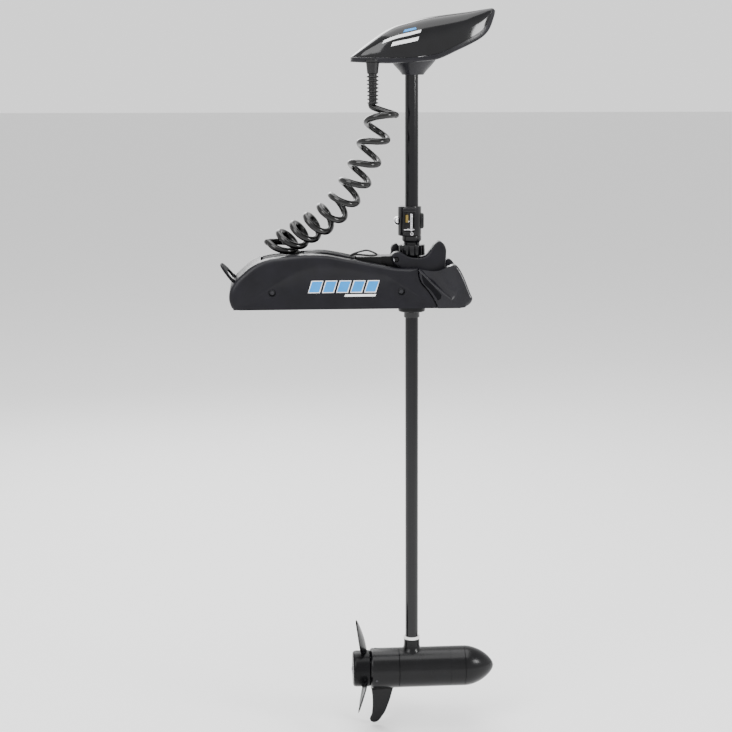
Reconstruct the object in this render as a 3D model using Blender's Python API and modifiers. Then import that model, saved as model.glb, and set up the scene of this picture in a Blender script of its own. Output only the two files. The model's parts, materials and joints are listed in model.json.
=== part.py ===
"""Bow-mount electric trolling motor: tilting deck mount, electric steering, sliding shaft, head and lower unit.

Lengths are in metres. The frame's origin is on the mount's underside, on its centre line, with +X towards
the outboard end, where the shaft is, and +Z up. Every piece is modelled from the shaft's axis and carried by
the empty of the body that it moves with.
"""
import math

import bmesh
import bpy
from mathutils import Matrix, Vector

MM = 0.001

# driving sizes
FIT = 0.3 * MM                  # gap between touching pieces
SHAFT_X = 150 * MM              # from the origin to the shaft's axis
SHAFT_R = 14.3 * MM
SHAFT_WALL = 2.5 * MM
NECK_Z = 494 * MM               # underside of the head's neck above the deck
MOTOR_Z = -830 * MM             # lower unit's axis below the deck
BASE_LEFT = -395 * MM           # inboard end of the mount, from the shaft
BASE_RIGHT = 125 * MM           # outboard end of the ramps
BASE_HALF = 69 * MM             # half the mount's width
CHEEK = 22 * MM                 # thickness of a ramp beside the fork
RAIL_HALF = 62 * MM
RAIL_WALL = 4 * MM
RAIL_FLOOR = 5 * MM
RAIL_HEIGHT = 46 * MM
SKIN = 3.5 * MM                 # wall of a moulded cover
PIVOT_X = -37 * MM              # tilt pin, from the shaft's axis
PIVOT_Z = 104 * MM
PIN_R = 6 * MM
SLEEVE_WALL = 2.6 * MM
RING_R = 28.7 * MM              # fluted steering ring
RING_LOW = 109 * MM
RING_HIGH = 131.7 * MM
SLEEVE_LOW = -27.6 * MM
SLEEVE_HIGH = 151.2 * MM
COLLAR_HEIGHT = 63.7 * MM
COLLAR_OFFSET = -4.5 * MM
CASE_R = 45 * MM                # lower unit's motor case
CASE_WALL = 4 * MM
PROP_R = 122 * MM
HUB_R = 41 * MM
GEAR_MODULE = 2 * MM
RING_TEETH = 30
PINION_TEETH = 10
COIL_R = 33.5 * MM              # outside of the curly cord's turns
CORD_R = 7 * MM
COIL_END = 0.5                  # how far the coil's turns have leant over at its lower end
ROPE_R = 2 * MM
SPINE_HALF = 33 * MM            # half the width of the centre covers
RECESS = 4 * MM                 # depth of a bolt's recess
BOLT_Z = 37.6 * MM
GLAND = (-85.5 * MM, -33 * MM)  # cord's gland under the head
GLAND_R = 15 * MM
HEAD_SCREWS = ((64 * MM, -38 * MM), (64 * MM, 38 * MM))
LEVER_Y = -21 * MM

# sizes worked out from them
FORK_HALF = BASE_HALF - CHEEK
BODY_HALF = FORK_HALF - 3 * MM  # half the steering housing's width
BORE_R = SHAFT_R + FIT
SLEEVE_R = BORE_R + SLEEVE_WALL
SEAT_R = SLEEVE_R + FIT
BUSH_R = SEAT_R + 4.5 * MM
DISH_R = RING_R + 2.8 * MM
BOSS_R = SHAFT_R + 3.2 * MM
COLLAR_R = SHAFT_R + 10.9 * MM
COLLAR_LOW = SLEEVE_HIGH + FIT
COLLAR_MID = COLLAR_LOW + COLLAR_HEIGHT / 2
TONGUE_HALF = 20 * MM
GEAR_CENTRES = GEAR_MODULE * (RING_TEETH + PINION_TEETH) / 2
STEER_MOTOR_R = GEAR_CENTRES - SLEEVE_R - 5.8 * MM
PEDAL_X = BASE_LEFT + 23 * MM
PEDAL_Z = 44 * MM
PEDAL_LEAN = math.radians(129.7)
PROP_X = -115 * MM              # middle of the hub, from the shaft's axis
COVER_BOLTS = (-27.8 * MM, BASE_LEFT + 91.5 * MM)
RAIL_CLEAR = RAIL_HALF + 0.5 * MM
SOCKET = (-255 * MM, 18 * MM)     # where the cord's tail goes in
INLET_X = BASE_LEFT + 130 * MM
INLET_Z = 60 * MM
LEVER_Z = COLLAR_LOW + 14 * MM

# the cords' middle lines in millimetres from the shaft's axis; after its first point the coil has one for each turn,
# and its third figures are shares of the height between its foot and its top
COIL_TOP = NECK_Z / MM - 76
COIL_FOOT = 132
COIL_ROUTE = [(x, y, COIL_FOOT + share * (COIL_TOP - COIL_FOOT)) for x, y, share in (
    (-66.5, -47, 1), (-74, -50, 0.9), (-90, -52, 0.741), (-110, -52, 0.584), (-130.5, -50, 0.451),
    (-154.5, -45, 0.332), (-180.5, -37, 0.238), (-209, -28, 0.166), (-236.5, -18, 0.105), (-263.5, -8, 0.049),
    (-284, 0, 0))]
TAIL_ROUTE = [(SOCKET[0] / MM + x, SOCKET[1] / MM + y, z) for x, y, z in (
    (-40, 8, 136), (-32, 11, 139.5), (-20, 11, 140), (-8, 7, 136), (-0.7, 1.5, 130), (0, 0, 125), (0, 0, 121.7))]
LOOP_ROUTE = [(-134, -28, 110.4), (-131.5, -29.5, 114), (-118, -34, 119.5), (-100, -36, 123.3), (-84, -36, 118),
              (-78, -35, 113.8), (-86, -33, 111.6), (-100, -29, 111.9), (-118, -24, 113.5), (-128, -22, 113),
              (-130, -22, 109.6)]

JOINTS = {}                     # each body's joint, from the shaft's axis on the deck

COLOURS = {
    "cover_black": ((0.030, 0.030, 0.034), 0.45, 0.0),
    "gloss_black": ((0.016, 0.016, 0.019), 0.18, 0.0),
    "pan_grey": ((0.045, 0.045, 0.050), 0.40, 0.0),
    "cast_black": ((0.022, 0.022, 0.024), 0.50, 0.6),
    "anodised": ((0.040, 0.040, 0.044), 0.35, 0.9),
    "shaft_black": ((0.020, 0.020, 0.023), 0.15, 0.0),
    "rubber": ((0.014, 0.014, 0.015), 0.60, 0.0),
    "steel": ((0.60, 0.60, 0.62), 0.25, 1.0),
    "chrome": ((0.80, 0.80, 0.82), 0.08, 1.0),
    "brass": ((0.62, 0.46, 0.16), 0.30, 1.0),
    "seal_white": ((0.85, 0.85, 0.85), 0.40, 0.0),
    "circuit": ((0.02, 0.12, 0.05), 0.50, 0.0),
    "copper": ((0.70, 0.32, 0.16), 0.35, 1.0),
}

for old in list(bpy.data.objects):
    bpy.data.objects.remove(old)

parts = bpy.data.collections.new("trolling_motor")
cutters = bpy.data.collections.new("cutters")
bpy.context.scene.collection.children.link(parts)
bpy.context.scene.collection.children.link(cutters)


# ---- modelling helpers ----

def paint(obj, look):
    """Give a piece its own material."""
    colour, rough, metal = COLOURS[look]
    mat = bpy.data.materials.new(obj.name)
    mat.use_nodes = True
    shader = mat.node_tree.nodes["Principled BSDF"]
    shader.inputs["Base Color"].default_value = (*colour, 1)
    shader.inputs["Roughness"].default_value = rough
    shader.inputs["Metallic"].default_value = metal
    obj.data.materials.append(mat)


def piece(name, mesh, look=None):
    """An object for a mesh: a part when it has a look, otherwise a cutter or a shape to join."""
    obj = bpy.data.objects.new(name, mesh)
    if look:
        parts.objects.link(obj)
        paint(obj, look)
    else:
        cutters.objects.link(obj)
        obj.hide_render = True
        obj.display_type = "WIRE"
    return obj


def block(name, low, high, look=None):
    """A box between two corners."""
    bm = bmesh.new()
    size = [h - l for l, h in zip(low, high)]
    middle = [(h + l) / 2 for l, h in zip(low, high)]
    bmesh.ops.create_cube(bm, size=1, matrix=Matrix.Translation(middle) @ Matrix.Diagonal((*size, 1)))
    mesh = bpy.data.meshes.new(name)
    bm.to_mesh(mesh)
    bm.free()
    return piece(name, mesh, look)


TURN = {"X": Matrix.Rotation(math.radians(90), 4, "Y"), "Y": Matrix.Rotation(math.radians(-90), 4, "X"),
        "Z": Matrix.Identity(4)}


def cylinder(name, start, axis, length, r, look=None, end_r=None, sides=24):
    """A cylinder or a cone that runs from start along an axis."""
    bm = bmesh.new()
    place = Matrix.Translation(start) @ TURN[axis] @ Matrix.Translation((0, 0, length / 2))
    top = r if end_r is None else end_r
    bmesh.ops.create_cone(bm, cap_ends=True, segments=sides, radius1=r, radius2=top, depth=length, matrix=place)
    mesh = bpy.data.meshes.new(name)
    bm.to_mesh(mesh)
    bm.free()
    mesh.shade_smooth()
    mesh.set_sharp_from_angle(angle=math.radians(35))
    return piece(name, mesh, look)


def turned(name, profile, look=None, axis="Z", at=(0, 0, 0), closed=False, sides=28):
    """A turned piece: its profile is (radius, height) points, from the top down the outer side."""
    mesh = bpy.data.meshes.new(name)
    count = len(profile)
    edges = [(i, i + 1) for i in range(count - 1)] + ([(count - 1, 0)] if closed else [])
    mesh.from_pydata([(r, 0, z) for r, z in profile], edges, [])
    obj = piece(name, mesh, look)
    screw = obj.modifiers.new("turn", "SCREW")
    screw.axis = "Z"
    screw.angle = math.tau
    screw.steps = sides
    screw.render_steps = sides
    screw.use_merge_vertices = True
    screw.merge_threshold = 0.00001
    screw.use_smooth_shade = True
    obj.matrix_world = Matrix.Translation(at) @ TURN[axis]
    return obj


def tube(name, low, high, outer, inner, look=None, axis="Z", at=(0, 0), sides=28):
    """A plain ring or tube round an axis."""
    start = {"Z": (at[0], at[1], 0), "X": (0, at[0], at[1]), "Y": (at[0], 0, at[1])}[axis]
    profile = [(inner, high), (outer, high), (outer, low), (inner, low)]
    return turned(name, profile, look, axis, start, True, sides)


def outline(name, points, low, high, plane="XZ", look=None, steps=4):
    """A flat outline given a thickness. A point with a third value is smooth, others are corners."""
    curve = bpy.data.curves.new(name, "CURVE")
    curve.dimensions = "2D"
    curve.fill_mode = "BOTH"
    curve.extrude = (high - low) / 2
    curve.resolution_u = steps
    spline = curve.splines.new("BEZIER")
    spline.use_cyclic_u = True
    spline.bezier_points.add(len(points) - 1)
    for handle, point in zip(spline.bezier_points, points):
        handle.co = (point[0], point[1], 0)
        kind = "AUTO" if len(point) > 2 else "VECTOR"
        handle.handle_left_type = kind
        handle.handle_right_type = kind
    drawn = bpy.data.objects.new(name, curve)
    cutters.objects.link(drawn)
    if plane == "XZ":
        drawn.matrix_world = Matrix.Translation((0, (low + high) / 2, 0)) @ Matrix.Rotation(math.pi / 2, 4, "X")
    else:
        drawn.matrix_world = Matrix.Translation((0, 0, (low + high) / 2))
    bpy.context.view_layer.update()
    mesh = bpy.data.meshes.new_from_object(drawn.evaluated_get(bpy.context.evaluated_depsgraph_get()))
    place = drawn.matrix_world.copy()
    bpy.data.objects.remove(drawn)
    bm = bmesh.new()
    bm.from_mesh(mesh)
    bmesh.ops.remove_doubles(bm, verts=bm.verts, dist=0.000005)
    bmesh.ops.recalc_face_normals(bm, faces=bm.faces)
    bm.to_mesh(mesh)
    bm.free()
    mesh.transform(place)
    mesh.materials.clear()
    return piece(name, mesh, look)


def soften(obj, width, segments=2, limit=40):
    """Round a piece's sharp edges."""
    bevel = obj.modifiers.new("edges", "BEVEL")
    bevel.width = width
    bevel.segments = segments
    bevel.limit_method = "ANGLE"
    bevel.angle_limit = math.radians(limit)
    return obj


def combine(obj, operation, *others):
    """Join other shapes to a piece, cut them from it, or keep what they share."""
    for other in others:
        step = obj.modifiers.new(operation.lower(), "BOOLEAN")
        step.operation = operation
        step.solver = "EXACT"
        step.object = other
    return obj


def join(obj, *others):
    return combine(obj, "UNION", *others)


def cut(obj, *others):
    return combine(obj, "DIFFERENCE", *others)


def move(obj, matrix):
    """Move a piece with every shape that is joined to it or cut from it."""
    obj.matrix_world = matrix @ obj.matrix_world
    for step in obj.modifiers:
        if step.type == "BOOLEAN":
            move(step.object, matrix)


def both_sides(points, scale=1):
    """A half outline above its centre line, completed by its mirror image."""
    mirrored = [(p[0], -p[1] * scale, *p[2:]) for p in reversed(points) if p[1] > 0]
    return [(p[0], p[1] * scale, *p[2:]) for p in points] + mirrored


# ---- the deck mount ----

def cover_profile(inset=0.0):
    """A side cover's outline, from its inboard lower corner round the top to the seam with the ramp."""
    left = BASE_LEFT + inset
    low = 1.5 * MM if not inset else -10 * MM
    past = 8 * MM if inset else 0
    seam = [(50 * MM + past, low), (46 * MM + past, 12 * MM, 1), (30 * MM + past, 38 * MM, 1),
            (12.6 * MM + past, 60.3 * MM, 1), (7.7 * MM + past, 86.5 * MM - inset)]
    top = [(-35 * MM, 87 * MM - inset, 1), (-85 * MM, 96 * MM - inset, 1), (-142 * MM, 107 * MM - inset, 1),
           (-200 * MM, 116.5 * MM - inset, 1), (left + 119 * MM, 112.5 * MM - inset, 1),
           (left + 66 * MM, 102.5 * MM - inset, 1), (left + 28 * MM, 77 * MM - inset, 1),
           (left + 8.5 * MM, 55 * MM - inset, 1), (left + 0.5 * MM, 36 * MM, 1),
           (left + 4 * MM, 8 * MM, 1), (left + 9 * MM, low)]
    return seam + top


def ramp_profile(inset=0.0):
    """A ramp's outline: the seam, the dip under the housing, the peak and the outboard slope."""
    low = 0.8 * MM if not inset else -10 * MM
    seam = [(8.4 * MM + inset, 86.5 * MM - inset), (13.4 * MM + inset, 60.5 * MM, 1),
            (30.8 * MM + inset, 38.4 * MM, 1), (46.8 * MM + inset, 12.2 * MM, 1), (50.8 * MM + inset, low)]
    slope = [(97 * MM - inset, low), (114 * MM - inset, 5 * MM, 1), (BASE_RIGHT - inset, 19 * MM, 1),
             (BASE_RIGHT - 4 * MM - inset, 31 * MM, 1), (94 * MM - inset, 89 * MM - inset, 1),
             (87 * MM - inset, 94 * MM - inset, 1), (76 * MM - inset, 90.5 * MM - inset, 1),
             (50 * MM, 80 * MM - inset, 1), (26 * MM + inset, 81.5 * MM - inset, 1)]
    return seam + slope


def deck_rail():
    left = BASE_LEFT + 22 * MM
    rail = block("deck_rail", (left, -RAIL_HALF, 0), (100 * MM, RAIL_HALF, RAIL_HEIGHT), "anodised")
    for side in (-1, 1):
        inner, outer = sorted((side * (RAIL_HALF - RAIL_WALL), side * RAIL_HALF))
        join(rail, block("rail_ear", (PEDAL_X - 9 * MM, inner, 2 * MM), (PEDAL_X + 9 * MM, outer, 52 * MM)))
    cut(rail, block("rail_channel", (-1, RAIL_WALL - RAIL_HALF, RAIL_FLOOR), (1, RAIL_HALF - RAIL_WALL, 1)),
        block("rail_fork", (-60 * MM, -FORK_HALF, -1), (1, FORK_HALF, 1)),
        cylinder("pedal_pin_hole", (PEDAL_X, -0.1, PEDAL_Z), "Y", 0.2, 3 * MM + 2 * FIT, sides=12))
    for x in COVER_BOLTS:
        cut(rail, cylinder("cover_bolt_hole", (x, -0.1, BOLT_Z), "Y", 0.2, 3 * MM + 2 * FIT, sides=12))
    for x in (BASE_LEFT + 60 * MM, -90 * MM):
        for y in (-38 * MM, 38 * MM):
            cut(rail, cylinder("deck_bolt_hole", (x, y, -0.01), "Z", 0.03, 3.5 * MM, sides=12))


def side_cover(side):
    """A moulded side shell: outer wall, top lip and inboard end, hollow below and towards the middle."""
    name = "side_cover_near" if side < 0 else "side_cover_far"
    low, high = sorted((side * 0.3 * MM, side * BASE_HALF))
    cover = soften(outline(name, cover_profile(), low, high, look="cover_black", steps=2), 3 * MM, 1)
    hollow = sorted((-side * 20 * MM, side * (BASE_HALF - SKIN)))
    cut(cover, outline("cover_hollow", cover_profile(SKIN), *hollow, steps=2))
    spine = sorted((-side * 20 * MM, side * SPINE_HALF))
    cut(cover, block("cover_spine_gap", (BASE_LEFT + 68 * MM, spine[0], -1), (1, spine[1], 1)))
    fork = sorted((-side * 20 * MM, side * (FORK_HALF + 1 * MM)))
    cut(cover, block("cover_fork_gap", (-60 * MM, fork[0], -1), (1, fork[1], 1)))
    for x in COVER_BOLTS:
        start = side * RAIL_CLEAR
        wall = cylinder("bolt_boss", (x, min(start, side * (BASE_HALF - 1 * MM)), BOLT_Z), "Y",
                        BASE_HALF - 1 * MM - RAIL_CLEAR, 11 * MM, sides=16)
        join(cover, wall)
        inner, outer = sorted((side * (BASE_HALF - RECESS), side * (BASE_HALF + 1 * MM)))
        cut(cover, cylinder("bolt_recess", (x, inner, BOLT_Z), "Y", outer - inner, 8.2 * MM, sides=16),
            cylinder("bolt_hole", (x, -0.1, BOLT_Z), "Y", 0.2, 3 * MM + 2 * FIT, sides=12))
    slot = sorted((side * 38 * MM, side * 54 * MM))
    cut(cover, block("pedal_gap", (BASE_LEFT - 10 * MM, slot[0], 42 * MM), (BASE_LEFT + 20 * MM, slot[1], 68 * MM)))


def spine_cover(name, left, right, points):
    """A centre cover: a crowned lid with side skirts, open below."""
    top = [(left, 70 * MM), (right, 70 * MM)] + points
    width = SPINE_HALF - 0.4 * MM
    lid = soften(outline(name, top, -width, width, look="cover_black", steps=3), 2 * MM, 1)
    inner = [(left + 3 * MM, 60 * MM), (right - 3 * MM, 60 * MM)] + [
        (min(max(p[0], left + 3 * MM), right - 3 * MM), p[1] - 3 * MM, *p[2:]) for p in points]
    cut(lid, outline("lid_hollow", inner, 3 * MM - width, width - 3 * MM))
    return lid


def ramp(side):
    """A ramp beside the fork: a hollow cheek with a scooped outer face."""
    name = "ramp_near" if side < 0 else "ramp_far"
    low, high = sorted((side * (FORK_HALF + 0.5 * MM), side * (BASE_HALF + 4 * MM)))
    cheek = soften(outline(name, ramp_profile(), low, high, look="cover_black", steps=3), 4 * MM, 1)
    rail = sorted((side * (FORK_HALF - 5 * MM), side * RAIL_CLEAR))
    cut(cheek, block("ramp_rail_gap", (-1, rail[0], -1), (100.5 * MM, rail[1], RAIL_HEIGHT + 0.5 * MM)))
    scoop = cylinder("ramp_scoop", (112 * MM, 0, -18 * MM), "Z", 0.17, 27 * MM, end_r=62 * MM, sides=40)
    lean = Matrix.Translation((-52 * MM, side * (BASE_HALF + 46 * MM), 0)) @ Matrix.Rotation(
        math.radians(-12), 4, "Y")
    scoop.data.transform(Matrix.Translation((112 * MM, 0, 0)) @ lean @ Matrix.Translation((-112 * MM, 0, 0)))
    cut(cheek, scoop)


def hinge_block():
    """The bracket that carries the tilt pin: a top plate over a web, with a round-ended tongue."""
    web = soften(block("hinge_block", (-122 * MM, -TONGUE_HALF, RAIL_FLOOR + FIT), (-34 * MM, TONGUE_HALF, 92 * MM),
                       "cast_black"), 1.5 * MM, 1)
    plate = block("hinge_plate", (-122 * MM, -30 * MM, 90 * MM), (-68 * MM, 30 * MM, 108.5 * MM))
    tongue = block("hinge_tongue", (-70 * MM, -TONGUE_HALF, 85 * MM), (PIVOT_X, TONGUE_HALF, PIVOT_Z + 4.5 * MM))
    knuckle = cylinder("hinge_knuckle", (PIVOT_X, -TONGUE_HALF, PIVOT_Z), "Y", 2 * TONGUE_HALF, 8.5 * MM)
    join(web, plate, tongue, knuckle)
    cut(web, cylinder("tilt_bore", (PIVOT_X, -0.1, PIVOT_Z), "Y", 0.2, PIN_R + FIT),
        block("web_hollow", (-116 * MM, -14 * MM, -1), (-60 * MM, 14 * MM, 84 * MM)),
        cylinder("latch_bore", (-130 * MM, 0, 28 * MM), "X", 0.12, 4.5 * MM, sides=20))


def release_pedal():
    """The foot pedal: a round-ended plate with a slot, on two arms that reach in to its pin."""
    half = 60 * MM
    plan = both_sides([(64 * MM, 0, 1), (60 * MM, 28 * MM, 1), (44 * MM, 50 * MM, 1), (22 * MM, half)])
    plate = soften(outline("release_pedal", plan, -2.5 * MM, 2.5 * MM, "XY", "cast_black", 2), 1 * MM, 1)
    cut(plate, outline("pedal_slot", both_sides([(26 * MM, 36 * MM, 1), (32.5 * MM, 41 * MM, 1),
                                                 (39 * MM, 36 * MM, 1)]), -0.02, 0.02, "XY", steps=2))
    for side in (-1, 1):
        inner, outer = sorted((side * 40 * MM, side * 52 * MM))
        join(plate, block("pedal_arm", (0, inner, -4 * MM), (26 * MM, outer, 1.6 * MM)),
             cylinder("pedal_eye", (0, inner, 0), "Y", 12 * MM, 7.5 * MM, sides=16))
    join(plate, block("pedal_bar", (-4.5 * MM, -45 * MM, -6 * MM), (4.5 * MM, 45 * MM, -3.4 * MM)))
    cut(plate, cylinder("pedal_bore", (0, -0.1, 0), "Y", 0.2, 3 * MM + FIT, sides=16))
    move(plate, Matrix.Translation((PEDAL_X, 0, PEDAL_Z)) @ Matrix.Rotation(-PEDAL_LEAN, 4, "Y"))


def latch_rod():
    """The rod that the pedal pushes towards the hinge block."""
    rod = cylinder("latch_rod", (PEDAL_X + 16 * MM, 0, 28 * MM), "X", -52 * MM - PEDAL_X - 16 * MM, 4 * MM,
                   "steel", sides=16)
    join(rod, block("latch_hook", (-112 * MM, -10 * MM, 22 * MM), (-96 * MM, 10 * MM, 34 * MM)))


def control_board():
    """The control board on its feet, with its heat sink and its large components."""
    left = BASE_LEFT + 95 * MM
    board = block("control_board", (left, -28 * MM, 50 * MM), (left + 120 * MM, 28 * MM, 51.6 * MM), "circuit")
    for x in (left + 5 * MM, left + 115 * MM):
        for y in (-23 * MM, 23 * MM):
            join(board, cylinder("board_foot", (x, y, RAIL_FLOOR + FIT), "Z", 46 * MM, 3 * MM, sides=12))
    join(board, block("heat_sink", (left + 20 * MM, -20 * MM, 51 * MM), (left + 60 * MM, 20 * MM, 66 * MM)),
         cylinder("capacitor", (left + 78 * MM, 8 * MM, 51 * MM), "Z", 18 * MM, 8 * MM, sides=20),
         block("connector", (left + 92 * MM, -18 * MM, 51 * MM), (left + 108 * MM, 18 * MM, 62 * MM)))


def deck_mount():
    deck_rail()
    for side in (-1, 1):
        side_cover(side)
        ramp(side)
        for number, x in enumerate(COVER_BOLTS):
            name = f"cover_bolt_{number + 1}_{'near' if side < 0 else 'far'}"
            profile = [(0, 3.4 * MM), (4.6 * MM, 3.4 * MM), (4.6 * MM, 1 * MM), (6.6 * MM, 0.5 * MM), (6.6 * MM, 0),
                       (3 * MM, 0), (3 * MM, -11 * MM), (0, -11 * MM)]
            bolt = turned(name, profile, "steel", sides=12)
            bolt.matrix_world = Matrix.Translation((x, side * (BASE_HALF - RECESS + FIT), BOLT_Z)) @ Matrix.Rotation(
                math.radians(-90 * side), 4, "X")
    left = BASE_LEFT + 69 * MM
    rear = spine_cover("spine_cover_rear", left, -235 * MM,
                       [(-235 * MM, 113.5 * MM), (-262 * MM, 112.5 * MM, 1), (left + 26 * MM, 109.5 * MM, 1),
                        (left + 6 * MM, 105 * MM, 1), (left, 98 * MM)])
    cut(rear, cylinder("socket_hole", (SOCKET[0], SOCKET[1], 0.08), "Z", 0.1, 8 * MM + FIT, sides=24))
    spine_cover("spine_cover_front", -233.4 * MM, -124 * MM,
                [(-124 * MM, 107 * MM), (-160 * MM, 115 * MM, 1), (-197 * MM, 120 * MM, 1), (-233.4 * MM, 115.5 * MM)])
    hinge_block()
    cylinder("tilt_pin", (PIVOT_X, -BODY_HALF, PIVOT_Z), "Y", 2 * BODY_HALF, PIN_R, "steel")
    cylinder("pedal_pin", (PEDAL_X, -RAIL_HALF, PEDAL_Z), "Y", 2 * RAIL_HALF, 3 * MM, "steel", sides=16)
    control_board()
    turned("cord_socket", [(0, 121 * MM), (8.5 * MM, 121 * MM), (12 * MM, 118 * MM), (12 * MM, 113.6 * MM),
                           (8 * MM, 113.6 * MM), (8 * MM, 96 * MM), (0, 96 * MM)], "rubber", at=(*SOCKET, 0), sides=24)
    inlet = turned("power_inlet", [(0, 12 * MM), (6 * MM, 12 * MM), (8 * MM, 9 * MM), (8 * MM, 0.4 * MM),
                                   (6 * MM, 0.4 * MM), (6 * MM, -5 * MM), (0, -5 * MM)], "rubber", sides=20)
    inlet.matrix_world = Matrix.Translation((INLET_X, BASE_HALF, INLET_Z)) @ Matrix.Rotation(
        math.radians(-90), 4, "X")
    hole = cylinder("inlet_hole", (INLET_X, BASE_HALF - 7 * MM, INLET_Z), "Y", 0.02, 6 * MM + FIT, sides=20)
    cut(bpy.data.objects["side_cover_far"], hole)


# ---- the steering unit ----

def steering_housing():
    """The tilting gear case: a hollow block, two pivot ears, a saddle before the ring and a tall lobe."""
    core = soften(block("steering_housing", (-24 * MM, -BODY_HALF, 1.5 * MM), (69 * MM, BODY_HALF, 100 * MM),
                        "cover_black"), 3 * MM, 1)
    near = [(-46 * MM, 113.5 * MM, 1), (-45 * MM, 104 * MM, 1), (-40.5 * MM, 92 * MM, 1), (-31 * MM, 87.5 * MM),
            (-20 * MM, 60 * MM), (68.8 * MM, 60 * MM), (68.8 * MM, 90 * MM), (71 * MM, 114 * MM, 1),
            (70 * MM, 128 * MM, 1), (64 * MM, 138 * MM, 1), (55.5 * MM, 142 * MM, 1), (47 * MM, 137 * MM, 1),
            (38.5 * MM, 124.5 * MM, 1), (30.5 * MM, 113 * MM, 1), (17 * MM, 106.5 * MM, 1), (3 * MM, 106.5 * MM, 1),
            (-10 * MM, 109 * MM, 1), (-20 * MM, 114.5 * MM, 1), (-33 * MM, 119.8 * MM, 1)]
    far = [(-42 * MM, 124 * MM, 1), (-43 * MM, 112 * MM, 1), (-45 * MM, 102 * MM, 1), (-38 * MM, 90 * MM, 1),
           (-28 * MM, 86 * MM), (-20 * MM, 60 * MM), (68.8 * MM, 60 * MM), (68.8 * MM, 104 * MM, 1),
           (60 * MM, 120 * MM, 1), (46 * MM, 118 * MM, 1), (32 * MM, 106 * MM, 1), (10 * MM, 102 * MM, 1),
           (-16 * MM, 104 * MM, 1), (-25 * MM, 116 * MM, 1), (-28 * MM, 129 * MM, 1), (-34 * MM, 131.5 * MM, 1)]
    join(core, outline("near_wall", near, -BODY_HALF, -18 * MM, steps=2),
         outline("far_wall", far, TONGUE_HALF + 0.5 * MM, BODY_HALF, steps=2))
    cut(core, cylinder("ring_dish", (0, 0, 100 * MM), "Z", 0.1, DISH_R, sides=40),
        cylinder("bush_bore", (0, 0, -0.01), "Z", 0.2, BUSH_R + FIT, sides=32),
        cylinder("gear_space", (0, 0, 6 * MM), "Z", 14 * MM, GEAR_MODULE * (RING_TEETH / 2 + 1.5), sides=32),
        block("gear_chamber", (-20 * MM, 4 * MM - BODY_HALF, 6 * MM), (65 * MM, BODY_HALF - 4 * MM, 91 * MM)),
        block("tongue_gap", (-0.1, -TONGUE_HALF - 0.5 * MM, -0.1), (-24 * MM, TONGUE_HALF + 0.5 * MM, 0.2)),
        cylinder("ear_bore", (PIVOT_X, -0.1, PIVOT_Z), "Y", 0.2, PIN_R + FIT))
    return core


def gear(name, teeth, low, high, bore, at, phase, look):
    """A spur gear with involute flanks, thinned for backlash."""
    pitch = GEAR_MODULE * teeth / 2
    base = pitch * math.cos(math.radians(20))
    tip = pitch + 0.8 * GEAR_MODULE
    root = pitch - 1.1 * GEAR_MODULE
    backlash = 0.12 * GEAR_MODULE

    def spread(r):
        """Half of a tooth's angle at radius r."""
        if r <= base:
            r = base
        press = math.acos(base / r)
        at_pitch = math.radians(20)
        inv = math.tan(press) - press
        inv_pitch = math.tan(at_pitch) - at_pitch
        return (math.pi / 2 - backlash / GEAR_MODULE) / teeth + inv_pitch - inv

    points = []
    radii = [root, tip]
    for tooth in range(teeth):
        middle = math.tau * tooth / teeth + phase
        flank = [(r, -spread(r)) for r in radii] + [(r, spread(r)) for r in reversed(radii)]
        points += [(r * math.cos(middle + a) + at[0], r * math.sin(middle + a) + at[1]) for r, a in flank]
    wheel = outline(name, points, low, high, "XY", look, steps=1)
    return cut(wheel, cylinder(name + "_bore", (at[0], at[1], -1), "Z", 2, bore, sides=24))


def steering_unit():
    steering_housing()
    turned("bearing_flange", [(SEAT_R, 1.2 * MM), (RING_R + 0.7 * MM, 1.2 * MM), (RING_R + 0.7 * MM, -12.5 * MM),
                              (RING_R - 1.5 * MM, -14.7 * MM), (SEAT_R, -14.7 * MM)], "cast_black", closed=True)
    tube("lower_bush", 1.6 * MM, 6.6 * MM, BUSH_R, SEAT_R, "brass")
    tube("upper_bush", 91.5 * MM, 99.5 * MM, BUSH_R, SEAT_R, "brass")
    motor = cylinder("steering_motor", (GEAR_CENTRES, 0, 22 * MM), "Z", 62 * MM, STEER_MOTOR_R, "steel")
    plate = block("motor_plate", (SLEEVE_R + 3 * MM, 4.5 * MM - BODY_HALF, 19.4 * MM),
                  (64.5 * MM, BODY_HALF - 4.5 * MM, 22.5 * MM))
    join(motor, plate, cylinder("motor_shaft", (GEAR_CENTRES, 0, 8 * MM), "Z", 14.5 * MM, 2.5 * MM, sides=16))


def steer_pinion():
    gear("steer_pinion", PINION_TEETH, 8 * MM, 18.6 * MM, 2.5 * MM + FIT, (GEAR_CENTRES, 0),
         math.pi + math.pi / PINION_TEETH, "steel")


def drive_head():
    turned("drive_sleeve", [(BORE_R, SLEEVE_HIGH), (SLEEVE_R + 3.6 * MM, SLEEVE_HIGH), (SLEEVE_R + 3.6 * MM, 141 * MM),
                            (SLEEVE_R, 137 * MM), (SLEEVE_R, SLEEVE_LOW), (BORE_R, SLEEVE_LOW)],
           "gloss_black", closed=True)
    flutes = 12
    rim = []
    for i in range(flutes):
        for share, depth in ((0.05, 0), (0.38, 0), (0.71, 0), (0.80, 1.3 * MM), (0.96, 1.3 * MM)):
            angle = math.tau * (i + share) / flutes
            rim.append(((RING_R - depth) * math.cos(angle), (RING_R - depth) * math.sin(angle)))
    ring = outline("steering_ring", rim, RING_LOW, RING_HIGH, "XY", "gloss_black", steps=1)
    cut(ring, cylinder("ring_bore", (0, 0, 0), "Z", 0.2, SEAT_R, sides=40))
    gear("ring_gear", RING_TEETH, 8 * MM, 17.6 * MM, SEAT_R, (0, 0), 0, "steel")


# ---- the shaft, the head and the lower unit ----

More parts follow.
